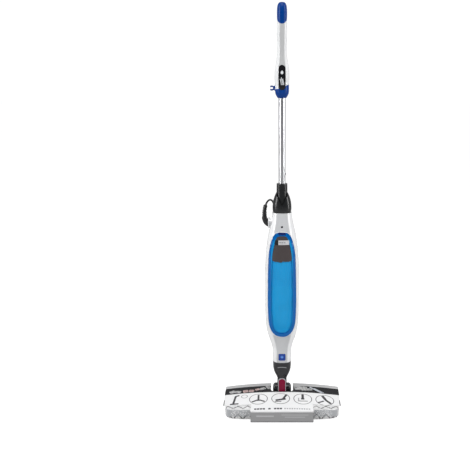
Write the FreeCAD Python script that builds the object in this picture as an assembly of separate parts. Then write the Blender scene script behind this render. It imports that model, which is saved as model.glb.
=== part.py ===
"""Upright steam mop with a removable water tank, a flip-over mop head and a mains lead.

Millimetres. +Z is up, +X is to the right and the front faces -Y. Z = 0 is the floor. Pieces are drawn
about the pole's axis, and keep() moves them so that the origin is the middle of the pad's underside.
Every piece is written to parts/NODE.step.
"""

import FreeCAD
import Part
import math
import os

V = FreeCAD.Vector
X_AXIS, Y_AXIS, Z_AXIS = V(1, 0, 0), V(0, 1, 0), V(0, 0, 1)

# ---- driving dimensions -------------------------------------------------------------------
WALL = 2.4                # moulded casings
RUN_FIT = 0.06            # radial clearance of a pin or spigot that turns
SLIP_FIT = 0.3            # gap beside a button, cover or insert
FAR = 400.0               # reach of a cutting block

# mop pad and head
PAD_LENGTH, PAD_DEPTH, PAD_THICK = 350.0, 165.0, 48.0
PAD_FRONT_Y = -127.0
PAD_PILE = 13.0           # thickness of each cleaning side
PAD_EDGE_R = 19.0         # rounding of the pile along the rim
PAD_CORNER_R = 26.0
NOTCH_HALF, NOTCH_FRONT_Y = 36.0, -28.0
NOTCH_FOLD_ROOM = 21.0    # extra bevel under the notch's sides, which clears the ankle when a wing folds
CORE_THICK = 20.0         # hard head inside the pad
WING_FOLD_DEG = 50.0
HUB_PIN_X = 36.0          # wing hinge pins, either side of the hub
KNUCKLE_R, HINGE_PIN_R = 8.6, 2.5
AXLE_R = 4.0              # cross axle that the head flips on
SLEEVE_CARD = 0.7         # printed card sleeve
SLEEVE_FLAP_HALF, SLEEVE_CUT_BACK = 93.0, 34.0

# ankle joint
ANKLE_HALF, LOBE_OUT, LOBE_R = 14.2, 28.0, 13.0
SHOULDER_Z, SHOULDER_R = 55.0, 15.0
SWIVEL_Z = 93.0           # seam between neck cup and ankle
SPIGOT_R, SPIGOT_BORE_R = 10.0, 6.0
PEDAL_HALF, PEDAL_LOW_Z, PEDAL_TOP_Z, PEDAL_TRAVEL = 9.8, 51.0, 90.0, 3.0

# body casing
BODY_BASE_Z, BODY_TOP_Z = 146.5, 608.0
BODY_HALF_WIDTH, BODY_FRONT_DEPTH, BODY_REAR_DEPTH = 50.0, 39.5, 40.5
SECTION_POWER = 2.5
TANK_LOW_Z, TANK_TOP_Z, TANK_HALF = 233.0, 553.0, 41.0
TANK_BACK_Y, TANK_WALL, TANK_PROUD = -4.0, 2.2, 1.2
TANK_GAP, BAY_WALL = 0.6, 2.0
TANK_RIM, TANK_PANEL_SINK = 10.0, 2.4
BUTTON_HALF, BUTTON_Z, BUTTON_TRAVEL = 10.6, 165.0, 3.0
LAMP_Z, LAMP_R = 569.0, 3.0
NECK_PLUG_R, NECK_PLUG_BORE_R, NECK_PLUG_TOP = 13.0, 7.0, 188.0

# pole and handle
TUBE_R, TUBE_WALL = 10.0, 1.2
TUBE_LOW_Z, TUBE_TOP_Z = 626.0, 1004.0
SNAP_Z, SNAP_R, SNAP_ANGLE, SNAP_TRAVEL = 721.0, 3.9, 55.0, 2.4
HANDLE_LOW_Z, HANDLE_TOP_Z = 938.0, 1200.0
HANDLE_HALF, COLLAR_HALF = 13.9, 19.9
CAP_SEAM_Z, CAP_TONGUE_R = 1155.0, 13.4
COLLAR_SEAM_LEFT_Z, COLLAR_SEAM_RIGHT_Z = 962.0, 976.0
BADGE_LOW_Z, BADGE_TOP_Z, BADGE_HALF = 961.0, 1030.0, 9.9
CLIP_Z, CLIP_SLOT_R = 966.0, 3.1

# mains lead
CORD_D = 5.6
HANK_RUN, HANK_INNER_R, HANK_LAYERS, HANK_DEEP = 96.0, 18.0, 3, 5
HANK_PITCH = CORD_D + 0.2
HANK_TOP_Z = 487.0        # centre of the upper folds
HANK_FIRST_Y = 46.8       # first layer's centreline
LOOP_R, LOOP_X, LOOP_Z = 33.0, -51.5, 606.0

# ---- helpers ------------------------------------------------------------------------------
PARTS = {}
SHIFT_Y = -(PAD_FRONT_Y + PAD_DEPTH / 2)


def keep(name, shape):
    """Stores a finished piece under its node name, in the part's own frame."""
    solids = shape.Solids
    piece = solids[0].copy() if len(solids) == 1 else Part.makeCompound(solids)
    piece.translate(V(0, SHIFT_Y, 0))
    PARTS[name] = piece


def box(x0, x1, y0, y1, z0, z1):
    return Part.makeBox(x1 - x0, y1 - y0, z1 - z0, V(x0, y0, z0))


def cyl(radius, start, axis, length):
    return Part.makeCylinder(radius, length, V(*start), axis)


def ring(outer, inner, start, axis, length):
    return cyl(outer, start, axis, length).cut(cyl(inner, start, axis, length))


def fuse(first, *others):
    return first.fuse(list(others)).removeSplitter()


def mirror_x(shape):
    return shape.mirror(V(0, 0, 0), X_AXIS)


def closed_curve(points):
    """A smooth closed wire through the points."""
    curve = Part.BSplineCurve()
    curve.interpolate(Points=points, PeriodicFlag=True)
    return Part.Wire([curve.toShape()])


def section(z, half, front, rear, power=SECTION_POWER, count=24):
    """A rounded section of the casing at height z: a superellipse, deeper or shallower behind."""
    points = []
    for i in range(count):
        angle = 2 * math.pi * i / count
        c, s = math.cos(angle), math.sin(angle)
        depth = rear if s > 0 else front
        x = half * math.copysign(abs(c) ** (2 / power), c)
        y = depth * math.copysign(abs(s) ** (2 / power), s)
        points.append(V(x, y, z))
    return closed_curve(points)


def skin(stations, grow=0.0, power=SECTION_POWER):
    """A solid lofted through (z, half width, front depth, rear depth), moved outwards by grow."""
    wires = [section(z, a + grow, f + grow, r + grow, power) for z, a, f, r in stations]
    return Part.makeLoft(wires, True, False)


def offset_outline(points, distance):
    """Moves each (x, z) point of a closed, anticlockwise outline outwards."""
    moved = []
    for i, (x, z) in enumerate(points):
        ax, az = points[i - 1]
        bx, bz = points[(i + 1) % len(points)]
        length = math.hypot(bx - ax, bz - az)
        moved.append((x + (bz - az) / length * distance, z - (bx - ax) / length * distance))
    return moved


def front_prism(points, y0, y1):
    """A closed (x, z) outline pulled along Y."""
    wire = closed_curve([V(x, y0, z) for x, z in points])
    return Part.Face(wire).extrude(V(0, y1 - y0, 0))


def stadium(half, low, top, y0, y1):
    """An upright slot shape of the given half width, from low to top, pulled along Y."""
    body = box(-half, half, y0, y1, low + half, top - half)
    ends = [cyl(half, (0, y0, z), Y_AXIS, y1 - y0) for z in (low + half, top - half)]
    return fuse(body, *ends)


def rounded_plate(x0, x1, y0, y1, z0, z1, radius):
    """A flat plate with upright edges rounded."""
    plate = box(x0, x1, y0, y1, z0, z1)
    edges = [e for e in plate.Edges if abs(e.tangentAt(e.FirstParameter).z) > 0.99]
    return plate.makeFillet(radius, edges)


def route_wire(points):
    """Straight runs joined by tangent arcs, each as large as its two runs allow. Returns (wire, radii)."""
    edges, radii, last = [], [], points[0]
    for before, corner, after in zip(points, points[1:], points[2:]):
        a, b = before - corner, after - corner
        turn = math.pi - a.getAngle(b)
        cut = 0.45 * min(a.Length, b.Length)
        radii.append(cut / math.tan(turn / 2))
        a.normalize()
        b.normalize()
        start, end = corner + a * cut, corner + b * cut
        inwards = (a + b).normalize()
        middle = corner + inwards * (radii[-1] / math.cos(turn / 2) - radii[-1])
        edges.append(Part.LineSegment(last, start).toShape())
        edges.append(Part.Arc(start, middle, end).toShape())
        last = end
    edges.append(Part.LineSegment(last, points[-1]).toShape())
    return Part.Wire(edges), radii


def tube_along(points, radius, name=""):
    """A round solid along a route, with its least bend radius and its volume printed."""
    wire, radii = route_wire([V(*p) for p in points])
    start = wire.Edges[0]
    circle = Part.Circle(start.valueAt(start.FirstParameter), start.tangentAt(start.FirstParameter), radius)
    solid = wire.makePipeShell([Part.Wire([circle.toShape()])], True, False, 2)
    if name:
        share = solid.Volume / (math.pi * radius**2 * wire.Length)
        print(f"{name}: length {wire.Length:.0f} mm, least radius {min(radii):.1f} mm, volume share {share:.3f}")
    return solid


def front_at(solid, x, z):
    """The y of a solid's front surface at x, z."""
    line = Part.LineSegment(V(x, -FAR, z), V(x, 0, z)).toShape()
    return line.common(solid).BoundBox.YMin


def screw(head_r, shank_r, seat, axis, head_h, length):
    """A pan-head screw with a cross recess. The head's underside is at seat, and axis points down the shank."""
    seat = V(*seat)
    head = Part.makeCylinder(head_r, head_h, seat - axis * head_h, axis)
    shank = Part.makeCylinder(shank_r, length, seat, axis)
    side = axis.cross(X_AXIS if abs(axis.x) < 0.9 else Y_AXIS)
    slot_at = seat - axis * head_h
    slots = [
        Part.makeCylinder(0.35 * head_r * 0.4, 1.6 * head_r, slot_at - d * 0.8 * head_r, d)
        for d in (side, axis.cross(side))
    ]
    return head.fuse(shank).cut(slots[0].fuse(slots[1]))


# ---- body casing --------------------------------------------------------------------------
HALF, FRONT, REAR = BODY_HALF_WIDTH, BODY_FRONT_DEPTH, BODY_REAR_DEPTH
NECK_HALF = 27.8          # casing's narrow foot, over the neck cup
CROWN_HALF = 28.4         # casing's shoulder, under the pole collar
BODY = [
    (BODY_BASE_Z, NECK_HALF, NECK_HALF - 0.5, NECK_HALF - 0.5),
    (170.0, NECK_HALF + 0.6, NECK_HALF, NECK_HALF),
    (192.0, NECK_HALF + 2.2, NECK_HALF + 0.8, NECK_HALF + 1.2),
    (217.0, 0.75 * HALF, 0.80 * FRONT, 0.82 * REAR),
    (248.0, 0.92 * HALF, 0.90 * FRONT, 0.92 * REAR),
    (290.0, HALF, 0.97 * FRONT, 0.99 * REAR),
    (380.0, 1.01 * HALF, FRONT, REAR),
    (470.0, 0.98 * HALF, 0.98 * FRONT, 0.98 * REAR),
    (512.0, 0.90 * HALF, 0.94 * FRONT, 0.94 * REAR),
    (555.0, 0.755 * HALF, 0.85 * FRONT, 0.86 * REAR),
    (583.0, 0.635 * HALF, 0.75 * FRONT, 0.78 * REAR),
    (BODY_TOP_Z, CROWN_HALF, 0.66 * FRONT, 0.71 * REAR),
]
TANK_HEIGHT = TANK_TOP_Z - TANK_LOW_Z
# Half of the tank's outline as (share of half width, share of height), from the foot up the right side.
TANK_SHAPE = [
    (0.0, 0.0), (0.45, 0.0135), (0.77, 0.056), (0.94, 0.122), (1.0, 0.209), (1.0, 0.60),
    (0.97, 0.73), (0.90, 0.83), (0.80, 0.895), (0.66, 0.95), (0.42, 0.99),
]


def tank_outline(grow=0.0):
    right = [(s * TANK_HALF, TANK_LOW_Z + h * TANK_HEIGHT) for s, h in TANK_SHAPE]
    left = [(-x, z) for x, z in reversed(right[1:])]
    return offset_outline(right + [(0.0, TANK_TOP_Z)] + left, grow)


def bell_outline(grow=0.0):
    """The dark insert in the tank's upper half: a bell, wider at its foot."""
    top, foot = TANK_TOP_Z - 9.0, TANK_TOP_Z - 85.0
    height = top - foot
    right = [(0.0, foot - 2.0), (0.62 * 29, foot - 1.0), (0.95 * 29, foot + 1.5), (0.99 * 29, foot + 8),
             (0.86 * 29, foot + 0.45 * height), (0.68 * 29, foot + 0.76 * height),
             (0.40 * 29, foot + 0.97 * height)]
    left = [(-x, z) for x, z in reversed(right[1:])]
    return offset_outline(right + [(0.0, top)] + left, grow)


def build_body():
    outer, inner = skin(BODY), skin(BODY, -WALL)
    tall = box(-FAR, FAR, -FAR, 0, -10, 1300)
    opening = front_prism(tank_outline(TANK_GAP + BAY_WALL + 0.1), -FAR, -0.1)
    hollow = inner.common(box(-FAR, FAR, -FAR, FAR, 0, BODY_TOP_Z - WALL))
    shell = outer.cut(hollow).cut(skin(STEM, 0.12, power=2.3))
    lamp_y = front_at(outer, 0, LAMP_Z)
    button_y = front_at(outer, 0, BUTTON_Z)
    button_hole = rounded_square(BUTTON_HALF + SLIP_FIT, BUTTON_Z, button_y - 6, button_y + 6, 3.6)
    boot_hole = boot_way()
    front = shell.common(tall).cut(opening).cut(cyl(LAMP_R + 0.1, (0, lamp_y - 4, LAMP_Z), Y_AXIS, 10))
    front = front.cut(button_hole).cut(boot_hole)
    post_hole = cyl(6.0, (0, 20, HANK_TOP_Z - 3), Y_AXIS, 40)
    screw_seats = [(0, 535.0), (0, 215.0), (0, 330.0)]
    rear = shell.cut(tall).cut(boot_hole).cut(post_hole)
    screws = []
    for x, z in screw_seats:
        y = rear_at(outer, x, z)
        rear = rear.cut(cyl(3.6, (x, y - 1.0, z), Y_AXIS, 8)).cut(cyl(1.6, (x, y - 8, z), Y_AXIS, 16))
        screws.append(screw(3.3, 1.5, (x, y - 1.0, z), V(0, -1, 0), 1.9, 9))
    keep("body_front_shell", front)
    keep("body_rear_shell", rear)
    keep("body_screws", Part.makeCompound(screws))
    lens = cyl(LAMP_R, (0, lamp_y - 0.2, LAMP_Z), Y_AXIS, 5.0)
    dome = Part.makeSphere(7.0, V(0, lamp_y - 0.8 + 7.0, LAMP_Z)).common(cyl(LAMP_R, (0, lamp_y - 2, LAMP_Z), Y_AXIS, 3))
    keep("indicator_lens", fuse(lens, dome))
    # release button, with the stem that frees the neck
    grown = skin(BODY, 0.9)
    cap = rounded_square(BUTTON_HALF, BUTTON_Z, -FAR, button_y + 3.4, 3.4).common(grown)
    stem_end = -(NECK_PLUG_R + 3.0) - BUTTON_TRAVEL - 0.6
    stem = cyl(4.0, (0, button_y + 2.0, BUTTON_Z), Y_AXIS, stem_end - button_y - 2.0)
    keep("release_button", fuse(cap, stem))
    return outer, inner


def rounded_square(half, z, y0, y1, radius):
    block = box(-half, half, y0, y1, z - half, z + half)
    edges = [e for e in block.Edges if abs(e.tangentAt(e.FirstParameter).y) > 0.99]
    return block.makeFillet(radius, edges)


def rear_at(solid, x, z):
    line = Part.LineSegment(V(x, 0, z), V(x, FAR, z)).toShape()
    return line.common(solid).BoundBox.YMax


# ---- water tank ---------------------------------------------------------------------------
VALVE_Z, VALVE_R = 262.0, 5.0
FILLER_Z, FILLER_R = 492.0, 12.0
LATCH_HALF, LATCH_LOW_Z, LATCH_TRAVEL = 10.5, 545.5, 3.0
PLATE_Z = (517.2, 530.6)


def build_tank(outer):
    proud, panel = skin(BODY, TANK_PROUD), skin(BODY, TANK_PROUD - TANK_PANEL_SINK)
    prism = front_prism(tank_outline(), -FAR, TANK_BACK_Y)
    panel_prism = front_prism(tank_outline(-TANK_RIM), -FAR, TANK_BACK_Y)
    latch_slot = box(-LATCH_HALF - SLIP_FIT, LATCH_HALF + SLIP_FIT, -FAR, FAR, LATCH_LOW_Z - SLIP_FIT, TANK_TOP_Z + 9)
    solid = prism.common(proud).cut(panel_prism.cut(panel)).cut(latch_slot)
    cavity = front_prism(tank_outline(-TANK_WALL), -FAR, TANK_BACK_Y - TANK_WALL)
    cavity = cavity.common(skin(BODY, TANK_PROUD - TANK_PANEL_SINK - TANK_WALL))
    keep_out = box(-LATCH_HALF - 3, LATCH_HALF + 3, -FAR, FAR, LATCH_LOW_Z - 3, TANK_TOP_Z + 9)
    neck = cyl(FILLER_R + 5, (0, TANK_BACK_Y - 9, FILLER_Z), Y_AXIS, 9)
    valve_hole = cyl(VALVE_R + 0.05, (0, TANK_BACK_Y - 6, VALVE_Z), Y_AXIS, 8)
    plate = box(-21, 21, -FAR, -10, *PLATE_Z).common(skin(BODY, TANK_PROUD + 0.25))
    plate = plate.cut(skin(BODY, TANK_PROUD - 0.9))
    plate_room = box(-21.1, 21.1, -FAR, -10, PLATE_Z[0] - 0.1, PLATE_Z[1] + 0.1)
    plate_room = plate_room.cut(skin(BODY, TANK_PROUD - 0.95))
    shell = solid.cut(cavity.cut(keep_out).cut(neck)).cut(plate_room)
    shell = shell.cut(cyl(FILLER_R, (0, TANK_BACK_Y - 12, FILLER_Z), Y_AXIS, 14))
    shell = shell.cut(cyl(FILLER_R + 2.4, (0, TANK_BACK_Y - 3.4, FILLER_Z), Y_AXIS, 6)).cut(valve_hole)
    keep("tank_shell", shell)
    # filler cap with a finger bar, and its seal
    lid = cyl(FILLER_R + 2.1, (0, TANK_BACK_Y - 3.3, FILLER_Z), Y_AXIS, 2.6)
    plug = cyl(FILLER_R - 0.3, (0, TANK_BACK_Y - 10, FILLER_Z), Y_AXIS, 7)
    hollow = ring(FILLER_R - 2.6, 2.4, (0, TANK_BACK_Y - 8, FILLER_Z), Y_AXIS, 8)
    bar = box(-1.6, 1.6, TANK_BACK_Y - 7.9, TANK_BACK_Y - 0.9, FILLER_Z - FILLER_R + 2.2, FILLER_Z + FILLER_R - 2.2)
    groove = ring(FILLER_R + 1, FILLER_R - 1.6, (0, TANK_BACK_Y - 8.4, FILLER_Z), Y_AXIS, 2.0)
    keep("tank_filler_cap", fuse(lid.fuse(plug).cut(hollow), bar).cut(groove))
    # outlet valve that pushes into the dock
    stem = ring(VALVE_R, 2.0, (0, TANK_BACK_Y - TANK_WALL, VALVE_Z), Y_AXIS, TANK_WALL + 9.0)
    head = ring(8.0, 2.0, (0, TANK_BACK_Y - TANK_WALL - 6, VALVE_Z), Y_AXIS, 6)
    keep("tank_valve", fuse(stem, head))
    # dark insert in the recessed face, with its plate
    bell = front_prism(bell_outline(), -FAR, TANK_BACK_Y)
    bell = bell.common(front_prism(tank_outline(-TANK_RIM - 0.15), -FAR, TANK_BACK_Y))
    insert = bell.common(skin(BODY, TANK_PROUD - 0.5)).cut(skin(BODY, TANK_PROUD - TANK_PANEL_SINK + 0.06))
    keep("tank_insert", insert.cut(plate_room))
    keep("tank_plate", plate)
    # latch block above the tank, in the bay
    latch = box(-LATCH_HALF, LATCH_HALF, -FAR, -18, LATCH_LOW_Z, TANK_TOP_Z + 9)
    inside = front_prism(tank_outline(-0.1), -FAR, 0)
    latch = latch.common(skin(BODY, 0.4)).common(inside)
    keep("tank_latch", latch)
    # bay that the tank sits in
    rim = front_prism(tank_outline(TANK_GAP + BAY_WALL), -FAR, 0)
    room = front_prism(tank_outline(TANK_GAP), -FAR, -BAY_WALL)
    bay = rim.common(outer).cut(room).cut(cyl(VALVE_R + 0.15, (0, -5, VALVE_Z), Y_AXIS, 10))
    dock = ring(VALVE_R + 4, VALVE_R + 0.15, (0, -1, VALVE_Z), Y_AXIS, 10)
    dock_end = ring(VALVE_R + 4, 2.0, (0, 9, VALVE_Z), Y_AXIS, 3)
    keep("tank_bay", fuse(bay, dock, dock_end))


# ---- steam works inside the casing --------------------------------------------------------
BOILER_LOW_Z, BOILER_TOP_Z, BOILER_HALF = 288.0, 402.0, 22.0
BOILER_Y0, BOILER_Y1 = 4.0, 24.0
PUMP_R, PUMP_Z0, PUMP_Z1, PUMP_AT = 12.5, 422.0, 466.0, (-10.0, 19.0)


def build_steam_works():
    block = rounded_plate(-BOILER_HALF, BOILER_HALF, BOILER_Y0, BOILER_Y1, BOILER_LOW_Z, BOILER_TOP_Z, 5.0)
    leg_x, heater_r = 13.0, 3.3
    z0, z1 = BOILER_LOW_Z + 14, BOILER_TOP_Z - 2
    bend = leg_x * 0.98
    heater = tube_along([(-leg_x, BOILER_Y1, z1), (-leg_x, BOILER_Y1, z0 - bend * 0.2), (0, BOILER_Y1, z0 - bend),
                         (leg_x, BOILER_Y1, z0 - bend * 0.2), (leg_x, BOILER_Y1, z1)], heater_r)
    fins = [box(-BOILER_HALF + 3, BOILER_HALF - 3, BOILER_Y1 - 1, BOILER_Y1 + 0, z, z + 1.2) for z in
            (BOILER_LOW_Z + 20 + 9 * i for i in range(8))]
    block = block.cut(Part.makeCompound(fins)).cut(heater)
    inlet = ring(3.0, 1.5, (-12, 13, BOILER_TOP_Z), Z_AXIS, 8)
    outlet = ring(3.4, 1.8, (15, 13, BOILER_LOW_Z - 8), Z_AXIS, 8)
    keep("boiler_block", fuse(block, inlet, outlet))
    keep("boiler_heater", heater)
    disc = cyl(7.5, (0, BOILER_Y1, BOILER_TOP_Z - 22), Y_AXIS, 5)
    tabs = [box(x - 1, x + 1, BOILER_Y1 + 4, BOILER_Y1 + 9, BOILER_TOP_Z - 24, BOILER_TOP_Z - 18) for x in (-4, 4)]
    keep("thermostat", fuse(disc, *tabs))
    px, py = PUMP_AT
    motor = cyl(PUMP_R, (px, py, PUMP_Z0 + 8), Z_AXIS, PUMP_Z1 - PUMP_Z0 - 16)
    ends = [ring(6, 1.5, (px, py, PUMP_Z0), Z_AXIS, 8), ring(6, 1.5, (px, py, PUMP_Z1 - 8), Z_AXIS, 8)]
    strap = ring(PUMP_R + 2, PUMP_R - 1, (px, py, PUMP_Z0 + 16), Z_AXIS, 12)
    foot = box(px - 15, px + 15, 0.2, 5.0, PUMP_Z0 + 16, PUMP_Z0 + 28).cut(cyl(PUMP_R + 0.1, (px, py, PUMP_Z0), Z_AXIS, 60))
    keep("pump_body", fuse(motor, strap, foot, *ends))
    board = box(-24, 24, 6.0, 7.6, 472.0, 532.0)
    chips = [box(-20, -4, 7.6, 18, 478, 496), box(2, 20, 7.6, 22, 480, 500), cyl(5, (-10, 7.6, 514), Y_AXIS, 13),
             cyl(5, (4, 7.6, 514), Y_AXIS, 13), box(12, 20, 7.6, 12, 508, 526)]
    keep("control_board", fuse(board, *chips))
    hose = 3.0
    keep("inlet_hose", tube_along([(0, 12, VALVE_Z), (0, 20, VALVE_Z), (-12, 29, VALVE_Z + 6), (-28, 21, VALVE_Z + 26),
                                   (-30, 18, VALVE_Z + 80), (-30, 17, PUMP_Z0 - 24), (-24, 19, PUMP_Z0 - 8),
                                   (px, py, PUMP_Z0 - 5), (px, py, PUMP_Z0)], hose, "inlet hose"))
    keep("steam_hose", tube_along([(15, 13, BOILER_LOW_Z - 8), (15, 13, BOILER_LOW_Z - 28), (13, 12, BOILER_LOW_Z - 52),
                                   (3, 5, NECK_PLUG_TOP + 28), (0, 0, NECK_PLUG_TOP + 16), (0, 0, NECK_PLUG_TOP)],
                                  3.4, "steam hose"))


# ---- neck, ankle and head -----------------------------------------------------------------
AXLE_Z = PAD_THICK / 2
NECK = [
    (SWIVEL_Z, 16.0, 15.6, 15.6),
    (99.0, 18.4, 17.8, 17.8),
    (108.0, 22.6, 21.6, 21.6),
    (118.0, 25.8, 24.8, 24.8),
    (130.0, 27.3, 26.6, 26.6),
    (BODY_BASE_Z, NECK_HALF - 0.3, NECK_HALF - 0.8, NECK_HALF - 0.8),
]


def build_neck():
    cup = skin(NECK).cut(skin([(z, a - WALL, f - WALL, r - WALL) for z, a, f, r in NECK[2:-1]]
                              + [(BODY_BASE_Z + 1, NECK_HALF - 2.7, NECK_HALF - 3.2, NECK_HALF - 3.2)]))
    bore = cyl(SPIGOT_R + RUN_FIT, (0, 0, SWIVEL_Z - 1), Z_AXIS, 40)
    keep("neck_cup", cup.cut(bore))
    socket = ring(NECK_PLUG_R + 3, NECK_PLUG_R + 0.1, (0, 0, BODY_BASE_Z + 2), Z_AXIS, 44)
    flange = ring(24.6, NECK_PLUG_R + 0.1, (0, 0, BODY_BASE_Z + 2), Z_AXIS, 2)
    keep("neck_socket", fuse(socket, flange))
    plug = ring(NECK_PLUG_R, NECK_PLUG_BORE_R, (0, 0, 122), Z_AXIS, NECK_PLUG_TOP - 122)
    keep("neck_plug", plug.cut(ring(NECK_PLUG_R + 1, NECK_PLUG_R - 1.4, (0, 0, 180), Z_AXIS, 2.4)))
    # spigot that the ankle turns on, flanged above the cup's bearing
    spigot_top = 112.0
    spigot = ring(SPIGOT_R, SPIGOT_BORE_R, (0, 0, SWIVEL_Z - 12), Z_AXIS, spigot_top - SWIVEL_Z + 12)
    stop = ring(SPIGOT_R + 2.4, SPIGOT_BORE_R, (0, 0, spigot_top - 2), Z_AXIS, 2)
    keep("swivel_spigot", fuse(spigot, stop))


def build_ankle():
    column = skin([(62.0, ANKLE_HALF + 0.8, 15.6, 15.0), (78.0, ANKLE_HALF + 0.2, 15.6, 14.6),
                   (SWIVEL_Z - 0.4, ANKLE_HALF, 14.6, 14.4)], power=2.4)
    shoulders = cyl(SHOULDER_R, (-LOBE_OUT, 0, SHOULDER_Z), X_AXIS, 2 * LOBE_OUT)
    shoulders = shoulders.makeFillet(8.0, [e for e in shoulders.Edges if e.Curve.TypeId == "Part::GeomCircle"])
    lobes = []
    for x in (-LOBE_OUT, ANKLE_HALF + 0.4):
        wide = LOBE_OUT - ANKLE_HALF - 0.4
        web = box(x, x + wide, -LOBE_R, LOBE_R, AXLE_Z, SHOULDER_Z)
        lobe = fuse(web, *(cyl(LOBE_R, (x, 0, z), X_AXIS, wide) for z in (AXLE_Z, SHOULDER_Z)))
        outside = math.copysign(LOBE_OUT, x)
        lobes.append(lobe.makeFillet(5.0, [e for e in lobe.Edges if abs(e.BoundBox.XMin - outside) < 0.01
                                           and abs(e.BoundBox.XMax - outside) < 0.01]))
    room = cyl(LOBE_R + 2.6, (-ANKLE_HALF - 0.4, 0, AXLE_Z), X_AXIS, 2 * ANKLE_HALF + 0.8)
    arch = box(-LOBE_OUT, LOBE_OUT, -30, 30, 0, SHOULDER_Z + SHOULDER_R)
    arch = arch.makeFillet(14.0, [e for e in arch.Edges if abs(e.tangentAt(e.FirstParameter).y) > 0.99
                                  and e.CenterOfMass.z > 50])
    yoke = fuse(column, fuse(shoulders, *lobes).common(arch)).cut(room)
    steam_way = cyl(SPIGOT_R, (0, 0, SWIVEL_Z - 12), Z_AXIS, 14).fuse(cyl(4.0, (0, 0, AXLE_Z), Z_AXIS, 70))
    front_y = front_at(column, 0, 80.0)
    pedal_slot = stadium(PEDAL_HALF + 2.2, PEDAL_LOW_Z - 20, PEDAL_TOP_Z + 1.6, -FAR, front_y + 5.0)
    pedal_slot = pedal_slot.common(box(-FAR, FAR, -FAR, FAR, PEDAL_LOW_Z - 1, FAR))
    axle_hole = cyl(AXLE_R, (-LOBE_OUT - 1, 0, AXLE_Z), X_AXIS, 2 * LOBE_OUT + 2)
    keep("ankle_yoke", yoke.cut(steam_way).cut(pedal_slot).cut(axle_hole))
    frame = pedal_slot.common(skin([(40.0, ANKLE_HALF + 6, 19.0, 15), (SWIVEL_Z, ANKLE_HALF + 6, 16.6, 15)]))
    frame = frame.cut(box(-FAR, FAR, 0, FAR, 0, FAR))
    hole = stadium(PEDAL_HALF + SLIP_FIT, PEDAL_LOW_Z - 20, PEDAL_TOP_Z - 0.3, -FAR, FAR)
    keep("pedal_surround", frame.cut(hole))
    pedal = stadium(PEDAL_HALF, PEDAL_LOW_Z - 20, PEDAL_TOP_Z - 0.6, -FAR, front_y + 5.0 - PEDAL_TRAVEL - 0.4)
    pedal = pedal.common(skin([(40.0, ANKLE_HALF + 6, 21.5, 15), (70.0, ANKLE_HALF + 6, 21.0, 15),
                               (SWIVEL_Z, ANKLE_HALF + 6, 17.4, 15)]))
    keep("release_pedal", pedal.common(box(-FAR, FAR, -FAR, FAR, PEDAL_LOW_Z, FAR)))
    axle = cyl(AXLE_R, (-LOBE_OUT + 0.6, 0, AXLE_Z), X_AXIS, 2 * LOBE_OUT - 1.2)
    keep("flip_axle", axle)


HUB_Y0, HUB_Y1 = -114.0, NOTCH_FRONT_Y
CORE_LOW, CORE_TOP = AXLE_Z - CORE_THICK / 2, AXLE_Z + CORE_THICK / 2
COVER = 2.2
WEB_GAP = 1.0
HUB_EDGE = HUB_PIN_X - KNUCKLE_R - WEB_GAP
WING_EDGE = HUB_PIN_X + KNUCKLE_R + WEB_GAP
WING_OUT, WING_REAR_Y = PAD_LENGTH / 2 - 10.0, PAD_FRONT_Y + PAD_DEPTH - 10.0
KNUCKLES = [(HUB_Y0, HUB_Y0 + 18.0), (HUB_Y0 + 18.4, HUB_Y1 - 18.4), (HUB_Y1 - 18.0, HUB_Y1)]
LATCH_SLIDE_TRAVEL = 4.0


def build_hub():
    block = box(-HUB_EDGE, HUB_EDGE, HUB_Y0, HUB_Y1, CORE_LOW + COVER, CORE_TOP - COVER)
    tongue = box(-ANKLE_HALF + 0.6, ANKLE_HALF - 0.6, HUB_Y1, 0, AXLE_Z - 8, AXLE_Z + 8)
    eye = cyl(LOBE_R, (-ANKLE_HALF + 0.6, 0, AXLE_Z), X_AXIS, 2 * ANKLE_HALF - 1.2)
    arms = []
    for y0, y1 in (KNUCKLES[0], KNUCKLES[2]):
        for side in (-1, 1):
            x = side * HUB_PIN_X
            arms.append(cyl(KNUCKLE_R, (x, y0, AXLE_Z), Y_AXIS, y1 - y0))
            arms.append(box(min(x, side * (HUB_EDGE - 1)), max(x, side * (HUB_EDGE - 1)), y0, y1, AXLE_Z - 7, AXLE_Z + 7))
    hub = fuse(block, tongue, eye, *arms)
    hub = hub.cut(cyl(AXLE_R + RUN_FIT, (-60, 0, AXLE_Z), X_AXIS, 120))
    for side in (-1, 1):
        hub = hub.cut(cyl(HINGE_PIN_R, (side * HUB_PIN_X, HUB_Y0 - 1, AXLE_Z), Y_AXIS, HUB_Y1 - HUB_Y0 + 2))
    pocket = box(-HUB_EDGE + 4, HUB_EDGE - 4, HUB_Y0 + 8, HUB_Y1 - 10, CORE_LOW + COVER - 1, CORE_TOP - COVER + 1)
    hub = hub.cut(pocket)
    pins = [cyl(HINGE_PIN_R, (s * HUB_PIN_X, HUB_Y0, AXLE_Z), Y_AXIS, HUB_Y1 - HUB_Y0) for s in (-1, 1)]
    hub = fuse(hub, drilled_cover(-HUB_EDGE, HUB_EDGE, HUB_Y0, HUB_Y1, CORE_LOW, 4.0))
    nozzle = ring(6.0, 2.0, (0, HUB_Y1 - 26, CORE_LOW + 1), Z_AXIS, CORE_THICK - COVER - 1.2)
    keep("hub_frame", fuse(hub, nozzle))
    keep("wing_hinge_pins", Part.makeCompound(pins))
    keep("hub_cover", drilled_cover(-HUB_EDGE, HUB_EDGE, HUB_Y0, HUB_Y1, CORE_TOP - COVER, 4.0))


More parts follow.
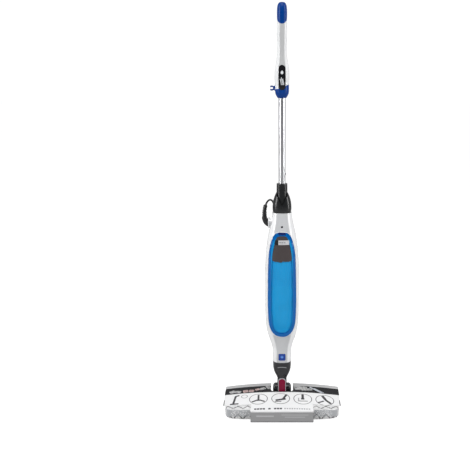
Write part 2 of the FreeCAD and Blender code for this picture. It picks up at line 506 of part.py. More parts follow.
def drilled_cover(x0, x1, y0, y1, z0, radius):
    """A flat cover with rows of steam holes."""
    cover = rounded_plate(x0, x1, y0, y1, z0, z0 + COVER, radius)
    across, along = max(2, int((x1 - x0) / 22)), max(3, int((y1 - y0) / 26))
    holes = []
    for i in range(across):
        for k in range(along):
            at = (x0 + (x1 - x0) * (i + 0.5) / across, y0 + (y1 - y0) * (k + 0.5) / along, z0 - 1)
            holes.append(cyl(1.6, at, Z_AXIS, COVER + 2))
    return cover.cut(Part.makeCompound(holes))


def build_wing(side, name):
    """One folding wing: a ribbed frame with its knuckle and lower face, and a drilled upper cover."""
    x0, x1, y0, y1 = WING_EDGE, WING_OUT, PAD_FRONT_Y + 10.0, WING_REAR_Y
    frame = rounded_plate(x0, x1, y0, y1, CORE_LOW + COVER, CORE_TOP - COVER, 9.0)
    cells = []
    across, along, rib = 4, 4, 3.0
    wide, deep = (x1 - x0 - 8 - rib * (across - 1)) / across, (y1 - y0 - 8 - rib * (along - 1)) / along
    for i in range(across):
        for k in range(along):
            cx, cy = x0 + 4 + i * (wide + rib), y0 + 4 + k * (deep + rib)
            cells.append(box(cx, cx + wide, cy, cy + deep, CORE_LOW + COVER - 1, AXLE_Z - 1.2))
            cells.append(box(cx, cx + wide, cy, cy + deep, AXLE_Z + 1.2, CORE_TOP))
    frame = frame.cut(Part.makeCompound(cells))
    ky0, ky1 = KNUCKLES[1]
    knuckle = cyl(KNUCKLE_R, (HUB_PIN_X, ky0, AXLE_Z), Y_AXIS, ky1 - ky0)
    web = box(HUB_PIN_X, x0 + 2, ky0, ky1, AXLE_Z - 7, AXLE_Z + 7)
    frame = fuse(frame, web, knuckle).cut(cyl(HINGE_PIN_R + RUN_FIT, (HUB_PIN_X, ky0 - 1, AXLE_Z), Y_AXIS, ky1 - ky0 + 2))
    frame = fuse(frame, drilled_cover(x0, x1, y0, y1, CORE_LOW, 9.0))
    cover = drilled_cover(x0, x1, y0, y1, CORE_TOP - COVER, 9.0)
    for node, shape in ((f"{name}_frame", frame), (f"{name}_cover", cover)):
        keep(node, shape if side > 0 else mirror_x(shape))


def pad_outer():
    """The whole pad as a cushion with a rounded rim and a notch at the back for the ankle."""
    half = PAD_LENGTH / 2
    plan = rounded_plate(-half, half, PAD_FRONT_Y, PAD_FRONT_Y + PAD_DEPTH, 0, PAD_THICK, PAD_CORNER_R)
    rim = [e for e in plan.Edges if abs(e.BoundBox.ZMax - e.BoundBox.ZMin) < 0.01]
    cushion = plan.makeFillet(PAD_EDGE_R, rim)
    return cushion.cut(box(-NOTCH_HALF, NOTCH_HALF, NOTCH_FRONT_Y, FAR, -1, PAD_THICK + 1))


def wedge(side, y0, y1, inwards, outwards):
    """A V-shaped groove under a wing hinge, so that the pad can close up when the wing folds."""
    x = side * HUB_PIN_X
    low, high = side * inwards, side * outwards
    profile = [V(x - side * 0.5, y0, PAD_THICK + 1), V(x - side * 0.5, y0, AXLE_Z), V(x - low, y0, -0.1),
               V(x + high, y0, -0.1), V(x + side * 0.5, y0, AXLE_Z), V(x + side * 0.5, y0, PAD_THICK + 1)]
    return Part.Face(Part.makePolygon(profile + [profile[0]])).extrude(V(0, y1 - y0, 0))


def build_pad():
    cushion = pad_outer()
    pocket_low, pocket_top = CORE_LOW - 0.6, CORE_TOP + 0.6
    pocket_x = WING_OUT + 1.0
    room = box(-pocket_x, pocket_x, PAD_FRONT_Y + 9.0, WING_REAR_Y + 1.0, pocket_low, pocket_top)
    middle_room = box(-NOTCH_HALF - 20, NOTCH_HALF + 20, HUB_Y0 - 1.0, FAR, pocket_low, pocket_top)
    knuckle_room = [box(side * HUB_PIN_X - 12, side * HUB_PIN_X + 12, HUB_Y0 - 1, HUB_Y1 + 1, pocket_low, pocket_top)
                    for side in (-1, 1)]
    flank = [box(min(s * (NOTCH_HALF - 1), s * (WING_EDGE - 1.0)), max(s * (NOTCH_HALF - 1), s * (WING_EDGE - 1.0)),
                 HUB_Y1 + 2.0, FAR, 0, PAD_THICK) for s in (-1, 1)]
    wings = cushion.cut(room.cut(Part.makeCompound(flank)))
    soft = wings
    reach = AXLE_Z * math.tan(math.radians(WING_FOLD_DEG / 2)) + 0.8
    for side in (-1, 1):
        soft = soft.cut(wedge(side, PAD_FRONT_Y - 1, NOTCH_FRONT_Y, reach, reach))
        soft = soft.cut(wedge(side, NOTCH_FRONT_Y, PAD_FRONT_Y + PAD_DEPTH + 1, reach, NOTCH_FOLD_ROOM))
    soft = soft.cut(middle_room.common(box(-FAR, FAR, -FAR, HUB_Y1 + 1.0, 0, PAD_THICK)))
    for piece in soft.Solids:
        x = piece.CenterOfMass.x
        name = "pad_centre" if abs(x) < 20 else ("pad_right" if x > 0 else "pad_left")
        keep(name, piece)


def build_sleeve():
    """Printed card sleeve over the pad: a top panel with a notch, and a flap down the front."""
    half, z0 = PAD_LENGTH / 2 + 0.5, PAD_THICK + 0.4
    front, rear = PAD_FRONT_Y - 0.6, PAD_FRONT_Y + PAD_DEPTH - 3
    top = box(-half, half, front - SLEEVE_CARD, rear, z0, z0 + SLEEVE_CARD)
    notch = rounded_plate(2 - NOTCH_HALF, NOTCH_HALF - 2, NOTCH_FRONT_Y + 1.5, rear + 60, z0 - 1, z0 + 3, 14.0)
    corner = [box(min(s * SLEEVE_FLAP_HALF, s * FAR), max(s * SLEEVE_FLAP_HALF, s * FAR),
                  front - 10, front + SLEEVE_CUT_BACK, z0 - 1, z0 + 3) for s in (-1, 1)]
    top = top.cut(notch).cut(Part.makeCompound(corner))
    flap = box(-SLEEVE_FLAP_HALF, SLEEVE_FLAP_HALF, front - SLEEVE_CARD, front, 0.8, z0 + SLEEVE_CARD)
    keep("card_sleeve", fuse(top, flap))


# ---- pole collar, tube and handle ---------------------------------------------------------
STEM = [
    (586.0, 19.0, 17.0, 17.0),
    (618.0, 18.4, 18.6, 17.0),
    (640.0, 16.8, 18.0, 16.6),
    (662.0, 16.0, 16.6, 15.9),
    (693.0, 15.6, 15.4, 15.4),
]
SKIRT = [
    (BODY_TOP_Z + 0.3, 25.2, 23.0, 24.2),
    (611.0, 26.6, 24.4, 25.4),
    (616.0, 27.6, 25.2, 26.2),
    (624.0, 27.8, 25.2, 26.4),
    (636.0, 26.8, 24.2, 25.4),
    (648.0, 24.2, 22.2, 23.2),
    (658.0, 20.6, 19.8, 20.2),
    (666.0, 17.0, 17.4, 17.0),
]
COLLAR_DEPTH = 20.4
HANDLE = [
    (HANDLE_LOW_Z, 11.9, 12.4, 12.4),
    (943.0, 15.4, 15.8, 15.8),
    (952.0, 19.2, 19.2, 19.2),
    (964.0, COLLAR_HALF, COLLAR_DEPTH, COLLAR_DEPTH),
    (1016.0, COLLAR_HALF, COLLAR_DEPTH, COLLAR_DEPTH),
    (1034.0, 17.4, 18.4, 18.8),
    (1050.0, 14.6, 16.2, 16.4),
    (1100.0, HANDLE_HALF, 15.6, 16.2),
    (1150.0, HANDLE_HALF + 0.1, 15.8, 17.2),
    (1182.0, HANDLE_HALF, 15.6, 16.6),
    (1192.0, 12.4, 13.6, 14.4),
    (1197.5, 9.4, 10.2, 10.6),
    (HANDLE_TOP_Z, 5.0, 5.4, 5.4),
]


def build_pole():
    stem = skin(STEM, power=2.3)
    keep("collar_stem", stem.cut(cyl(TUBE_R + 0.08, (0, 0, TUBE_LOW_Z), Z_AXIS, 90))
         .cut(cyl(TUBE_R - 2.0, (0, 0, 580), Z_AXIS, 60)))
    neckline = Part.Face(Part.makePolygon([V(0, 0, 630), V(15.5, 0, 658), V(15.5, 0, 680), V(-15.5, 0, 680),
                                           V(-15.5, 0, 658), V(0, 0, 630)])).extrude(V(0, -FAR, 0))
    skirt = skin(SKIRT, power=2.6).cut(skin(STEM, 0.1, power=2.3)).cut(neckline)
    keep("collar_skirt", skirt)
    tube = ring(TUBE_R, TUBE_R - TUBE_WALL, (0, 0, TUBE_LOW_Z), Z_AXIS, TUBE_TOP_Z - TUBE_LOW_Z)
    away = V(math.sin(math.radians(SNAP_ANGLE)), -math.cos(math.radians(SNAP_ANGLE)), 0)
    hole = cyl(SNAP_R + 0.15, (0, 0, SNAP_Z), away, 20)
    keep("pole_tube", tube.cut(hole))
    button = cyl(SNAP_R, tuple(away * 5.2 + V(0, 0, SNAP_Z)), away, 8.0)
    button = button.common(Part.makeSphere(12.0, V(0, 0, SNAP_Z)))
    leaf_r, leaf = 5.0, 0.6
    legs = [box(-3, 3, s * (leaf_r + leaf / 2) - leaf / 2, s * (leaf_r + leaf / 2) + leaf / 2, SNAP_Z - 30, SNAP_Z + 5)
            for s in (-1, 1)]
    bend = ring(leaf_r + leaf, leaf_r, (-3, 0, SNAP_Z - 30), X_AXIS, 6).common(box(-9, 9, -9, 9, SNAP_Z - 60, SNAP_Z - 30))
    spring = fuse(legs[0], legs[1], bend)
    spring.rotate(V(0, 0, 0), Z_AXIS, SNAP_ANGLE)
    keep("snap_button", fuse(button, spring))


def badge_shape(grow=0.0):
    return stadium(BADGE_HALF + grow, BADGE_LOW_Z - grow, BADGE_TOP_Z + grow, -FAR, 0)


def build_handle():
    outer, inner = skin(HANDLE, power=2.3), skin(HANDLE[1:-1] + [(1196.0, 10.0, 10.5, 10.9)], -WALL, power=2.3)
    rise = (COLLAR_SEAM_RIGHT_Z - COLLAR_SEAM_LEFT_Z) / (2 * COLLAR_HALF)
    middle = (COLLAR_SEAM_RIGHT_Z + COLLAR_SEAM_LEFT_Z) / 2
    below = Part.Face(Part.makePolygon([V(-FAR, -FAR, 0), V(FAR, -FAR, 0), V(FAR, -FAR, middle + rise * FAR),
                                        V(-FAR, -FAR, middle - rise * FAR), V(-FAR, -FAR, 0)])).extrude(V(0, 2 * FAR, 0))
    above = box(-FAR, FAR, -FAR, FAR, CAP_SEAM_Z, FAR * 4).fuse(cyl(CAP_TONGUE_R, (0, -FAR, CAP_SEAM_Z), Y_AXIS, 2 * FAR))
    shell = outer.cut(inner)
    pocket = badge_shape(0.15).cut(skin(HANDLE, -1.0, power=2.3))
    sleeve_r = TUBE_R + 0.08
    tube_hole = cyl(sleeve_r, (0, 0, HANDLE_LOW_Z - 1), Z_AXIS, 80)
    front = box(-FAR, FAR, -FAR, 0, 0, FAR * 4)
    peg = cyl(2.6, (-COLLAR_HALF - 3, 0, CLIP_Z), X_AXIS, 6)
    grip = shell.cut(below).cut(above).cut(pocket).cut(peg)
    keep("handle_front_shell", grip.common(front))
    rear_shell = grip.cut(front)
    screws = []
    for z in (1008.0, 1062.0, 1124.0):
        y = rear_at(outer, 0, z)
        rear_shell = rear_shell.cut(cyl(3.3, (0, y - 1.1, z), Y_AXIS, 8)).cut(cyl(1.6, (0, y - 8, z), Y_AXIS, 16))
        screws.append(screw(3.0, 1.5, (0, y - 1.1, z), V(0, -1, 0), 1.8, 9))
    keep("handle_rear_shell", rear_shell)
    keep("handle_screws", Part.makeCompound(screws))
    keep("handle_grip_cap", shell.common(above))
    keep("handle_badge", badge_shape().common(skin(HANDLE, 0.6, power=2.3)).cut(skin(HANDLE, -0.9, power=2.3)))
    hook_pin = cyl(2.2, (0, 14, CLIP_Z - 8), Y_AXIS, 40)
    collar = outer.common(below).cut(inner).cut(pocket).cut(tube_hole).cut(peg).cut(hook_pin)
    keep("handle_collar", fuse(collar, ring(TUBE_R + 3.2, sleeve_r, (0, 0, HANDLE_LOW_Z + 2), Z_AXIS, 58.0)))
    # fork that a stretch of the lead snaps into
    fork = box(-33.5, -COLLAR_HALF + 3.0, -5.5, 5.5, CLIP_Z - 7, CLIP_Z + 7)
    edges = [e for e in fork.Edges if abs(e.tangentAt(e.FirstParameter).y) > 0.99 and e.CenterOfMass.x < -30]
    fork = fork.makeFillet(2.6, edges)
    slot = fuse(cyl(CLIP_SLOT_R, (-28.5, -9, CLIP_Z), Y_AXIS, 18), box(-40, -29.0, -9, 9, CLIP_Z - 2.2, CLIP_Z + 2.2))
    waist = [cyl(3.0, (-23.8, -9, CLIP_Z + s * 8.6), Y_AXIS, 18) for s in (-1, 1)]
    fork = fork.cut(slot).cut(Part.makeCompound(waist)).cut(skin(HANDLE, 0.05, power=2.3))
    keep("cord_clip", fuse(fork, peg))
    # quick-release hook at the back, for winding the lead
    hook_z, hook_y = CLIP_Z - 8, COLLAR_DEPTH + 0.4
    disc = cyl(9.0, (0, hook_y, hook_z), Y_AXIS, 5.0)
    arm = box(-6.5, 6.5, hook_y + 4, hook_y + 30, hook_z + 1.5, hook_z + 7.5)
    lip = box(-6.5, 6.5, hook_y + 24, hook_y + 30, hook_z + 1.5, hook_z + 22)
    hook = fuse(disc, arm, lip)
    lip_edges = [e for e in hook.Edges if abs(e.tangentAt(e.FirstParameter).x) > 0.99
                 and e.CenterOfMass.y > hook_y + 20 and e.Length > 12]
    hook = hook.makeFillet(2.0, lip_edges).cut(cyl(2.2 + RUN_FIT, (0, 0, hook_z), Y_AXIS, 60))
    hook = hook.cut(cyl(4.4, (0, hook_y + 3.2, hook_z), Y_AXIS, 3))
    keep("upper_cord_hook", hook)
    pin_head = cyl(4.0, (0, hook_y + 3.4, hook_z), Y_AXIS, 1.5)
    keep("hook_pivot_screw", fuse(cyl(2.2, (0, 14, hook_z), Y_AXIS, hook_y + 3.4 - 14), pin_head))


# ---- mains lead ---------------------------------------------------------------------------
LOOP_TURN = math.atan2(52.3, 25.0)    # the loop leans back behind the casing


def loop_point(along, height):
    """A point of the loop's plane: along it sideways, and its height."""
    return (LOOP_X + along * math.cos(LOOP_TURN), along * math.sin(LOOP_TURN), height)


CORNER = LOOP_R * math.tan(math.radians(22.5))
LEAD_ROUTE = [
    loop_point(0, LOOP_Z + CORNER - 27.2),
    loop_point(0, LOOP_Z + CORNER),
    loop_point(LOOP_R - CORNER, LOOP_Z + LOOP_R),
    loop_point(LOOP_R + CORNER, LOOP_Z + LOOP_R),
    loop_point(2 * LOOP_R, LOOP_Z + CORNER),
    (-22.6, 58.4, 590.0),
    (-26.4, 54.4, 556.0),
    (-29.0, 48.6, 521.0),
    (-29.6, HANK_FIRST_Y, HANK_TOP_Z),
]
HANK_LAST_Y = HANK_FIRST_Y + (HANK_DEEP - 1) * HANK_PITCH
TAIL_ROUTE = [
    (-18.0, HANK_LAST_Y, 416.0),
    (-17.8, HANK_LAST_Y + 3.4, 397.0),
    (-16.0, 78.6, 375.0),
    (-12.0, 81.0, 353.0),
    (-12.0, 81.0, 330.0),
]
PLUG_TOP_Z, PLUG_SIDE, PLUG_THICK = 330.0, 47.0, 23.0
BOOT_TIP_DEG = 38.0
BOOT_SLEEVE_R, BOOT_RIB_PITCH = 6.8, 4.9
BOOT_FIRST_RIB = -8.1        # first rib groove, measured along the sleeve from the loop's level


def racetrack(radius, y0, y1):
    low, top = HANK_TOP_Z - HANK_RUN, HANK_TOP_Z
    return fuse(box(-radius, radius, y0, y1, low, top), cyl(radius, (0, y0, low), Y_AXIS, y1 - y0),
                cyl(radius, (0, y0, top), Y_AXIS, y1 - y0))


BOOT_BASE_Z = LOOP_Z - 31.0


def boot_way():
    """The oval way for the boot's horn through the casing's side and its boss."""
    turns = [2 * math.pi * i / 12 for i in range(12)]
    oval = closed_curve([V(-60, 9.6 * math.sin(t), BOOT_BASE_Z + 0.5 + 13.6 * math.cos(t)) for t in turns])
    return Part.Face(oval).extrude(V(44, 0, 0))


def boot_horn(grow=0.0):
    """The boot's elbow, from inside the casing's side wall up to the foot of its ribbed sleeve."""
    stations = [(V(-24.0, 0, BOOT_BASE_Z), V(-1, 0, 0), 12.6, 8.6), (V(-36.0, 0, BOOT_BASE_Z), V(-1, 0, 0), 12.6, 8.6),
                (V(-43.5, 0, BOOT_BASE_Z + 3.5), V(-0.85, 0, 0.5), 11.0, 8.4),
                (V(-49.3, 0, BOOT_BASE_Z + 10.0), V(-0.45, 0, 0.88), 8.6, 7.8),
                (V(LOOP_X, 0, BOOT_BASE_Z + 16), Z_AXIS, 7.8, 7.6), (V(LOOP_X, 0, BOOT_BASE_Z + 18.4), Z_AXIS, 7.6, 7.5)]
    wires = []
    for centre, normal, tall, wide in stations:
        up = normal.cross(Y_AXIS).normalize() * (tall + grow)
        wires.append(Part.Wire([Part.Ellipse(centre + up, centre + Y_AXIS * (wide + grow), centre).toShape()]))
    return Part.makeLoft(wires, True, False)


def build_lead(outer):
    hank_y0, hank_y1 = HANK_FIRST_Y - CORD_D / 2, HANK_LAST_Y + CORD_D / 2
    hank_out = HANK_INNER_R + (HANK_LAYERS - 1) * HANK_PITCH + CORD_D / 2
    hank = racetrack(hank_out, hank_y0, hank_y1).cut(racetrack(HANK_INNER_R - CORD_D / 2, hank_y0, hank_y1))
    keep("cord_hank", hank)
    lead = tube_along(LEAD_ROUTE, CORD_D / 2, "lead")
    keep("cord_lead", lead.cut(hank))
    tail = tube_along(TAIL_ROUTE, CORD_D / 2, "tail")
    keep("cord_tail", tail.cut(hank))
    tie_z0, tie_z1, tie = 424.0, 442.0, 1.2
    strap = box(-hank_out - 0.2 - tie, hank_out + 0.2 + tie, hank_y0 - 0.2 - tie, hank_y1 + 0.2 + tie, tie_z0, tie_z1)
    keep("hank_tie", strap.cut(box(-hank_out - 0.2, hank_out + 0.2, hank_y0 - 0.2, hank_y1 + 0.2, tie_z0 - 1, tie_z1 + 1)))
    # elbow boot: a horn from the casing's side, then a ribbed sleeve that follows the lead
    horn = boot_horn()
    base = cyl(16.0, (-41.0, 0, BOOT_BASE_Z + 1.0), X_AXIS, 18)
    base = base.makeFillet(2.4, [e for e in base.Edges if e.CenterOfMass.x < -40.9])
    keep("boot_flange", base.cut(boot_way()).cut(boot_horn(0.05)).cut(skin(BODY, 0.02)))
    stations = []
    turn = math.radians(BOOT_TIP_DEG)
    for i in range(5):
        a = turn * i / 4
        centre = V(*loop_point(LOOP_R * (1 - math.cos(a)), LOOP_Z + LOOP_R * math.sin(a)))
        normal = V(math.sin(a) * math.cos(LOOP_TURN), math.sin(a) * math.sin(LOOP_TURN), math.cos(a))
        stations.append(Part.Wire([Part.Circle(centre, normal, BOOT_SLEEVE_R - 0.9 * i / 4).toShape()]))
    low_z = BOOT_BASE_Z + 14
    neck = cyl(BOOT_SLEEVE_R, (LOOP_X, 0, low_z), Z_AXIS, LOOP_Z - low_z)
    boot = horn.fuse(neck).fuse(Part.makeLoft(stations, True, False))
    for i in range(6):
        along = BOOT_FIRST_RIB + BOOT_RIB_PITCH * i
        a = max(along, 0.0) / LOOP_R
        centre = V(*loop_point(LOOP_R * (1 - math.cos(a)), LOOP_Z + LOOP_R * math.sin(a) + min(along, 0.0)))
        normal = V(math.sin(a) * math.cos(LOOP_TURN), math.sin(a) * math.sin(LOOP_TURN), math.cos(a))
        boot = boot.cut(Part.makeCylinder(9, 2.2, centre, normal).cut(Part.makeCylinder(4.7, 2.2, centre, normal)))
    bore = tube_along(LEAD_ROUTE, CORD_D / 2 + 0.05)
    keep("cord_boot", boot.cut(bore).cut(skin(BODY, -WALL - 6.0)))
    # post on the back that the hank hangs on
    post_y0, post_y1 = rear_at(outer, 0, HANK_TOP_Z) - 1.6, hank_y1 + 1.5
    saddle_r = HANK_INNER_R - CORD_D / 2 - 0.3
    saddle = cyl(saddle_r, (0, post_y0, HANK_TOP_Z), Y_AXIS, post_y1 - post_y0)
    saddle = saddle.common(box(-FAR, FAR, -FAR, FAR, HANK_TOP_Z - 6, FAR * 2)).cut(outer)
    flange = stadium(11.0, HANK_TOP_Z - 14, HANK_TOP_Z + 26, post_y1, post_y1 + 4.0)
    peg = cyl(5.9, (0, post_y0 - 4, HANK_TOP_Z - 3), Y_AXIS, 8).cut(skin(BODY, -WALL - 2))
    keep("lower_cord_hook", fuse(saddle, flange, peg))
    # plug on the end of the lead
    px, py = TAIL_ROUTE[-1][0], TAIL_ROUTE[-1][1]
    shell = box(px - PLUG_SIDE / 2, px + PLUG_SIDE / 2, py - PLUG_THICK / 2, py + PLUG_THICK / 2,
                PLUG_TOP_Z - PLUG_SIDE, PLUG_TOP_Z)
    shell = shell.makeFillet(5.0, [e for e in shell.Edges if abs(e.tangentAt(e.FirstParameter).y) > 0.99])
    blades = [box(px - 11 - 3.2, px - 11 + 3.2, py + PLUG_THICK / 2 - 3, py + PLUG_THICK / 2 + 17.7, 311.0, 315.0),
              box(px + 11 - 3.2, px + 11 + 3.2, py + PLUG_THICK / 2 - 3, py + PLUG_THICK / 2 + 17.7, 311.0, 315.0),
              box(px - 2, px + 2, py + PLUG_THICK / 2 - 3, py + PLUG_THICK / 2 + 22.7, 287.0, 295.0)]
    relief = Part.makeCone(6.6, 4.3, 24, V(px, py, PLUG_TOP_Z - 3))
    for i in range(5):
        relief = relief.cut(ring(9, 4.2 - 0.1 * i, (px, py, PLUG_TOP_Z + 3.0 + 3.4 * i), Z_AXIS, 1.4))
    shell = fuse(shell, relief).cut(tube_along(TAIL_ROUTE, CORD_D / 2 + 0.05))
    pins = Part.makeCompound(blades)
    keep("plug_body", shell.cut(pins))
    keep("plug_pins", pins)


def main():
    os.makedirs("parts", exist_ok=True)
    outer, _ = build_body()
    build_tank(outer)
    build_steam_works()
    build_neck()
    build_ankle()
    build_hub()
    build_wing(1, "wing_right")
    build_wing(-1, "wing_left")
    build_pad()
    build_sleeve()
    build_pole()
    build_handle()
    build_lead(outer)
    for name, shape in PARTS.items():
        if not shape.isValid():
            print("NOT VALID", name)
        shape.exportStep(f"parts/{name}.step")
    print(len(PARTS), "nodes")


main()
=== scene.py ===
# %% [markdown]
# # Steam mop
# A corded steam mop: a slim white body with a blue water tank, a metal pole with a white grip, and a
# flip-over head in a terry pad that still wears its printed card sleeve. The engineering model is loaded
# first. It fixes every size, so this script only adds cloth, card, cord and finishes around it.

# %% Load the engineering model
import math

import bmesh
import bpy
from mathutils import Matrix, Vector, noise

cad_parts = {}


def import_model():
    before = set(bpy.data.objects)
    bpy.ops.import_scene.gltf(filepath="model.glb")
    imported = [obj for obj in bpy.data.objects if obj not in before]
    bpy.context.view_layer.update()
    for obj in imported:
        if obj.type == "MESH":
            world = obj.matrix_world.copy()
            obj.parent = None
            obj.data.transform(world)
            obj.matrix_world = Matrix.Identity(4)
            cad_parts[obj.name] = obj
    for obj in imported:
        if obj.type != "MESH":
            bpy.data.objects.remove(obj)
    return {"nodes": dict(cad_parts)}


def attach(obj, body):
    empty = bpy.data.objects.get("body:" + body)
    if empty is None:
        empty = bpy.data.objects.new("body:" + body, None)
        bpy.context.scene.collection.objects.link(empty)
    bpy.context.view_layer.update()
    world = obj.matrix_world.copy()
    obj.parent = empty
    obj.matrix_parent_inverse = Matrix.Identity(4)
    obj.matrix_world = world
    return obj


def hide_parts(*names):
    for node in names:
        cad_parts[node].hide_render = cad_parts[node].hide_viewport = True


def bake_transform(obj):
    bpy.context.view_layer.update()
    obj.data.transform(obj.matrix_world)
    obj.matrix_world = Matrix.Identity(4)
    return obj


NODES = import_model()["nodes"]
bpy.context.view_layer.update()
POLE_Y = 0.0445  # the pole's axis stands this far behind the middle of the pad
MM = 0.001
TO_MM = 1000.0


def place(x, y, z):
    """A point given in millimetres about the pole's axis, as metres in the model's frame."""
    return (x * MM, y * MM + POLE_Y, z * MM)


def add_object(name, data=None):
    """A new object in the scene's collection."""
    made = bpy.data.objects.new(name, data)
    bpy.context.collection.objects.link(made)
    return made


# %% [markdown]
# ## Camera, floor and light
# The mop is tall and thin, so the camera stands two metres away with a long lens and looks slightly down.
# A small sideways shift sets the mop right of centre. Curved gloss needs something to reflect: two big soft
# panels light it from the sides, and a grey card behind the camera puts the dark streak on the metal pole.

# %% Camera
camera_data = bpy.data.cameras.new("camera")
camera_data.lens, camera_data.sensor_width, camera_data.shift_x = 58.0, 36.0, -0.100
CAMERA_BACK, CAMERA_HEIGHT, CAMERA_TILT = 2188, 1027, 12.58
camera = add_object("camera", camera_data)
camera.location = place(0, -CAMERA_BACK, CAMERA_HEIGHT)
camera.rotation_euler = (math.radians(90 - CAMERA_TILT), 0, 0)
bpy.context.scene.camera = camera


# %% Helpers that build node trees
def feed(tree, socket, value):
    """Joins a socket to another one, or sets its plain value."""
    if isinstance(value, bpy.types.NodeSocket):
        tree.links.new(value, socket)
    else:
        socket.default_value = value


def node(tree, kind, inputs=None, **settings):
    """Adds a node, sets it up and feeds its inputs, given by name or by number."""
    made = tree.nodes.new(kind)
    for key, value in settings.items():
        setattr(made, key, value)
    for key, value in (inputs or {}).items():
        feed(tree, made.inputs[key], value)
    return made


def calc(tree, operation, a, b=0.0, c=0.0, clamp=False):
    made = node(tree, "ShaderNodeMath", {0: a, 1: b, 2: c}, operation=operation, use_clamp=clamp)
    return made.outputs[0]


def step(tree, value, start, end):
    """0 below start and 1 above end, with a smooth change between them."""
    made = node(tree, "ShaderNodeMapRange", {0: value, 1: start, 2: end}, interpolation_type="SMOOTHSTEP")
    return made.outputs[0]


def mix(tree, mask, a, b):
    """Colour a where the mask is 0 and colour b where it is 1."""
    made = node(tree, "ShaderNodeMix", data_type="RGBA")
    feed(tree, made.inputs[0], mask)
    feed(tree, made.inputs[6], (*a, 1) if isinstance(a, tuple) else a)
    feed(tree, made.inputs[7], (*b, 1) if isinstance(b, tuple) else b)
    return made.outputs[2]


def object_vector(tree):
    """Object coordinates, which stay with a piece when it moves."""
    return node(tree, "ShaderNodeTexCoord").outputs["Object"]


def object_axes(tree):
    """The three parts of the object coordinates, in metres."""
    return tuple(node(tree, "ShaderNodeSeparateXYZ", {0: object_vector(tree)}).outputs)


def in_mm(tree, value, origin=0.0):
    """A length in metres as millimetres from an origin, which is in millimetres too."""
    return calc(tree, "MULTIPLY_ADD", value, TO_MM, -origin)


def bump_up(tree, shader, height):
    """Raises the shader's surface by a height in metres."""
    bump = node(tree, "ShaderNodeBump", {"Height": height, "Distance": 1.0, "Strength": 1.0})
    feed(tree, shader.inputs["Normal"], bump.outputs[0])


# %% Floor, soft panels and surroundings
def plane(name, size, location):
    mesh = bpy.data.meshes.new(name)
    half = size / 2
    corners = [(-half, -half, 0), (half, -half, 0), (half, half, 0), (-half, half, 0)]
    mesh.from_pydata(corners, [], [(0, 1, 2, 3)])
    made = add_object(name, mesh)
    made.location = location
    return made


def plain_material(name, colour, roughness):
    made = bpy.data.materials.new(name)
    made.use_nodes = True
    shader = made.node_tree.nodes["Principled BSDF"]
    shader.inputs["Base Color"].default_value = (*colour, 1)
    shader.inputs["Roughness"].default_value = roughness
    return made


floor = plane("floor", 30, (0, 6, 0))
paper = plain_material("floor_paper", (0.30, 0.30, 0.30), 0.9)
glow = paper.node_tree.nodes["Principled BSDF"].inputs
glow["Emission Color"].default_value = (1, 1, 1, 1)
watched = node(paper.node_tree, "ShaderNodeLightPath").outputs["Is Camera Ray"]
feed(paper.node_tree, glow["Emission Strength"], calc(paper.node_tree, "MULTIPLY_ADD", watched, 0.62, 0.28))
floor.data.materials.append(paper)


def area_light(name, location, target, size, power):
    data = bpy.data.lights.new(name, "AREA")
    data.shape, data.size, data.size_y = "RECTANGLE", size[0], size[1]
    data.energy = power
    made = add_object(name, data)
    made.location = location
    aim = Vector(target) - Vector(location)
    made.rotation_euler = aim.to_track_quat("-Z", "Y").to_euler()


area_light("left_panel", (-2.4, -1.2, 1.6), (0, 0, 0.6), (0.7, 2.6), 56)
area_light("right_panel", (2.4, -0.9, 1.5), (0, 0, 0.6), (0.7, 2.6), 46)
area_light("top_panel", (0, -1.4, 3.2), (0, 0, 0.3), (1.6, 1.6), 34)
area_light("rear_panel", (0, 3.0, 2.2), (0, 0, 0.7), (2.4, 1.6), 14)

world = bpy.data.worlds.new("studio")
bpy.context.scene.world = world
world.use_nodes = True
sky = world.node_tree
direction = node(sky, "ShaderNodeSeparateXYZ", {0: node(sky, "ShaderNodeTexCoord").outputs["Generated"]})
towards_front = step(sky, direction.outputs[1], -0.30, -0.90)
tone = mix(sky, towards_front, (1.0, 1.0, 1.0), (0.16, 0.16, 0.165))
seen = node(sky, "ShaderNodeLightPath").outputs["Is Camera Ray"]
feed(sky, sky.nodes["Background"].inputs["Color"], mix(sky, seen, tone, (1.0, 1.0, 1.0)))
feed(sky, sky.nodes["Background"].inputs["Strength"], calc(sky, "MULTIPLY_ADD", seen, 0.70, 0.34))
bpy.context.scene.view_settings.view_transform = "Standard"

# %% [markdown]
# ## Mains lead
# The lead is five metres of round 5.6 mm cable. It leaves the ribbed boot on the left of the body, arches
# over and goes down behind it, where it is wound into a flat hank on the lower cord hook and ends in a
# plug. Real cable keeps one length and never kinks, so one smooth spline follows the whole route: a few
# given points for the free stretches, and a loop that adds the same twelve points for every turn.

# %% The lead's route
CORD_D = 0.0056
LOOP_R, LOOP_X, LOOP_Z = 33.0, -51.5, 606.0
LOOP_TURN = math.atan2(52.3, 25.0)
CORNER = LOOP_R * math.tan(math.radians(22.5))
HANK_RUN, HANK_INNER_R, HANK_LAYERS, HANK_DEEP, HANK_PITCH = 96.0, 18.0, 3, 5, 5.8
HANK_TOP_Z, HANK_FIRST_Y = 487.0, 46.8


def loop_point(along, height):
    return (LOOP_X + along * math.cos(LOOP_TURN), along * math.sin(LOOP_TURN), height)


lead = [
    loop_point(0, LOOP_Z + CORNER - 27.2),
    loop_point(0, LOOP_Z + CORNER),
    loop_point(LOOP_R - CORNER, LOOP_Z + LOOP_R),
    loop_point(LOOP_R + CORNER, LOOP_Z + LOOP_R),
    loop_point(2 * LOOP_R, LOOP_Z + CORNER),
    (-22.6, 58.4, 590.0),
    (-26.4, 54.4, 556.0),
    (-29.0, 48.6, 521.0),
]
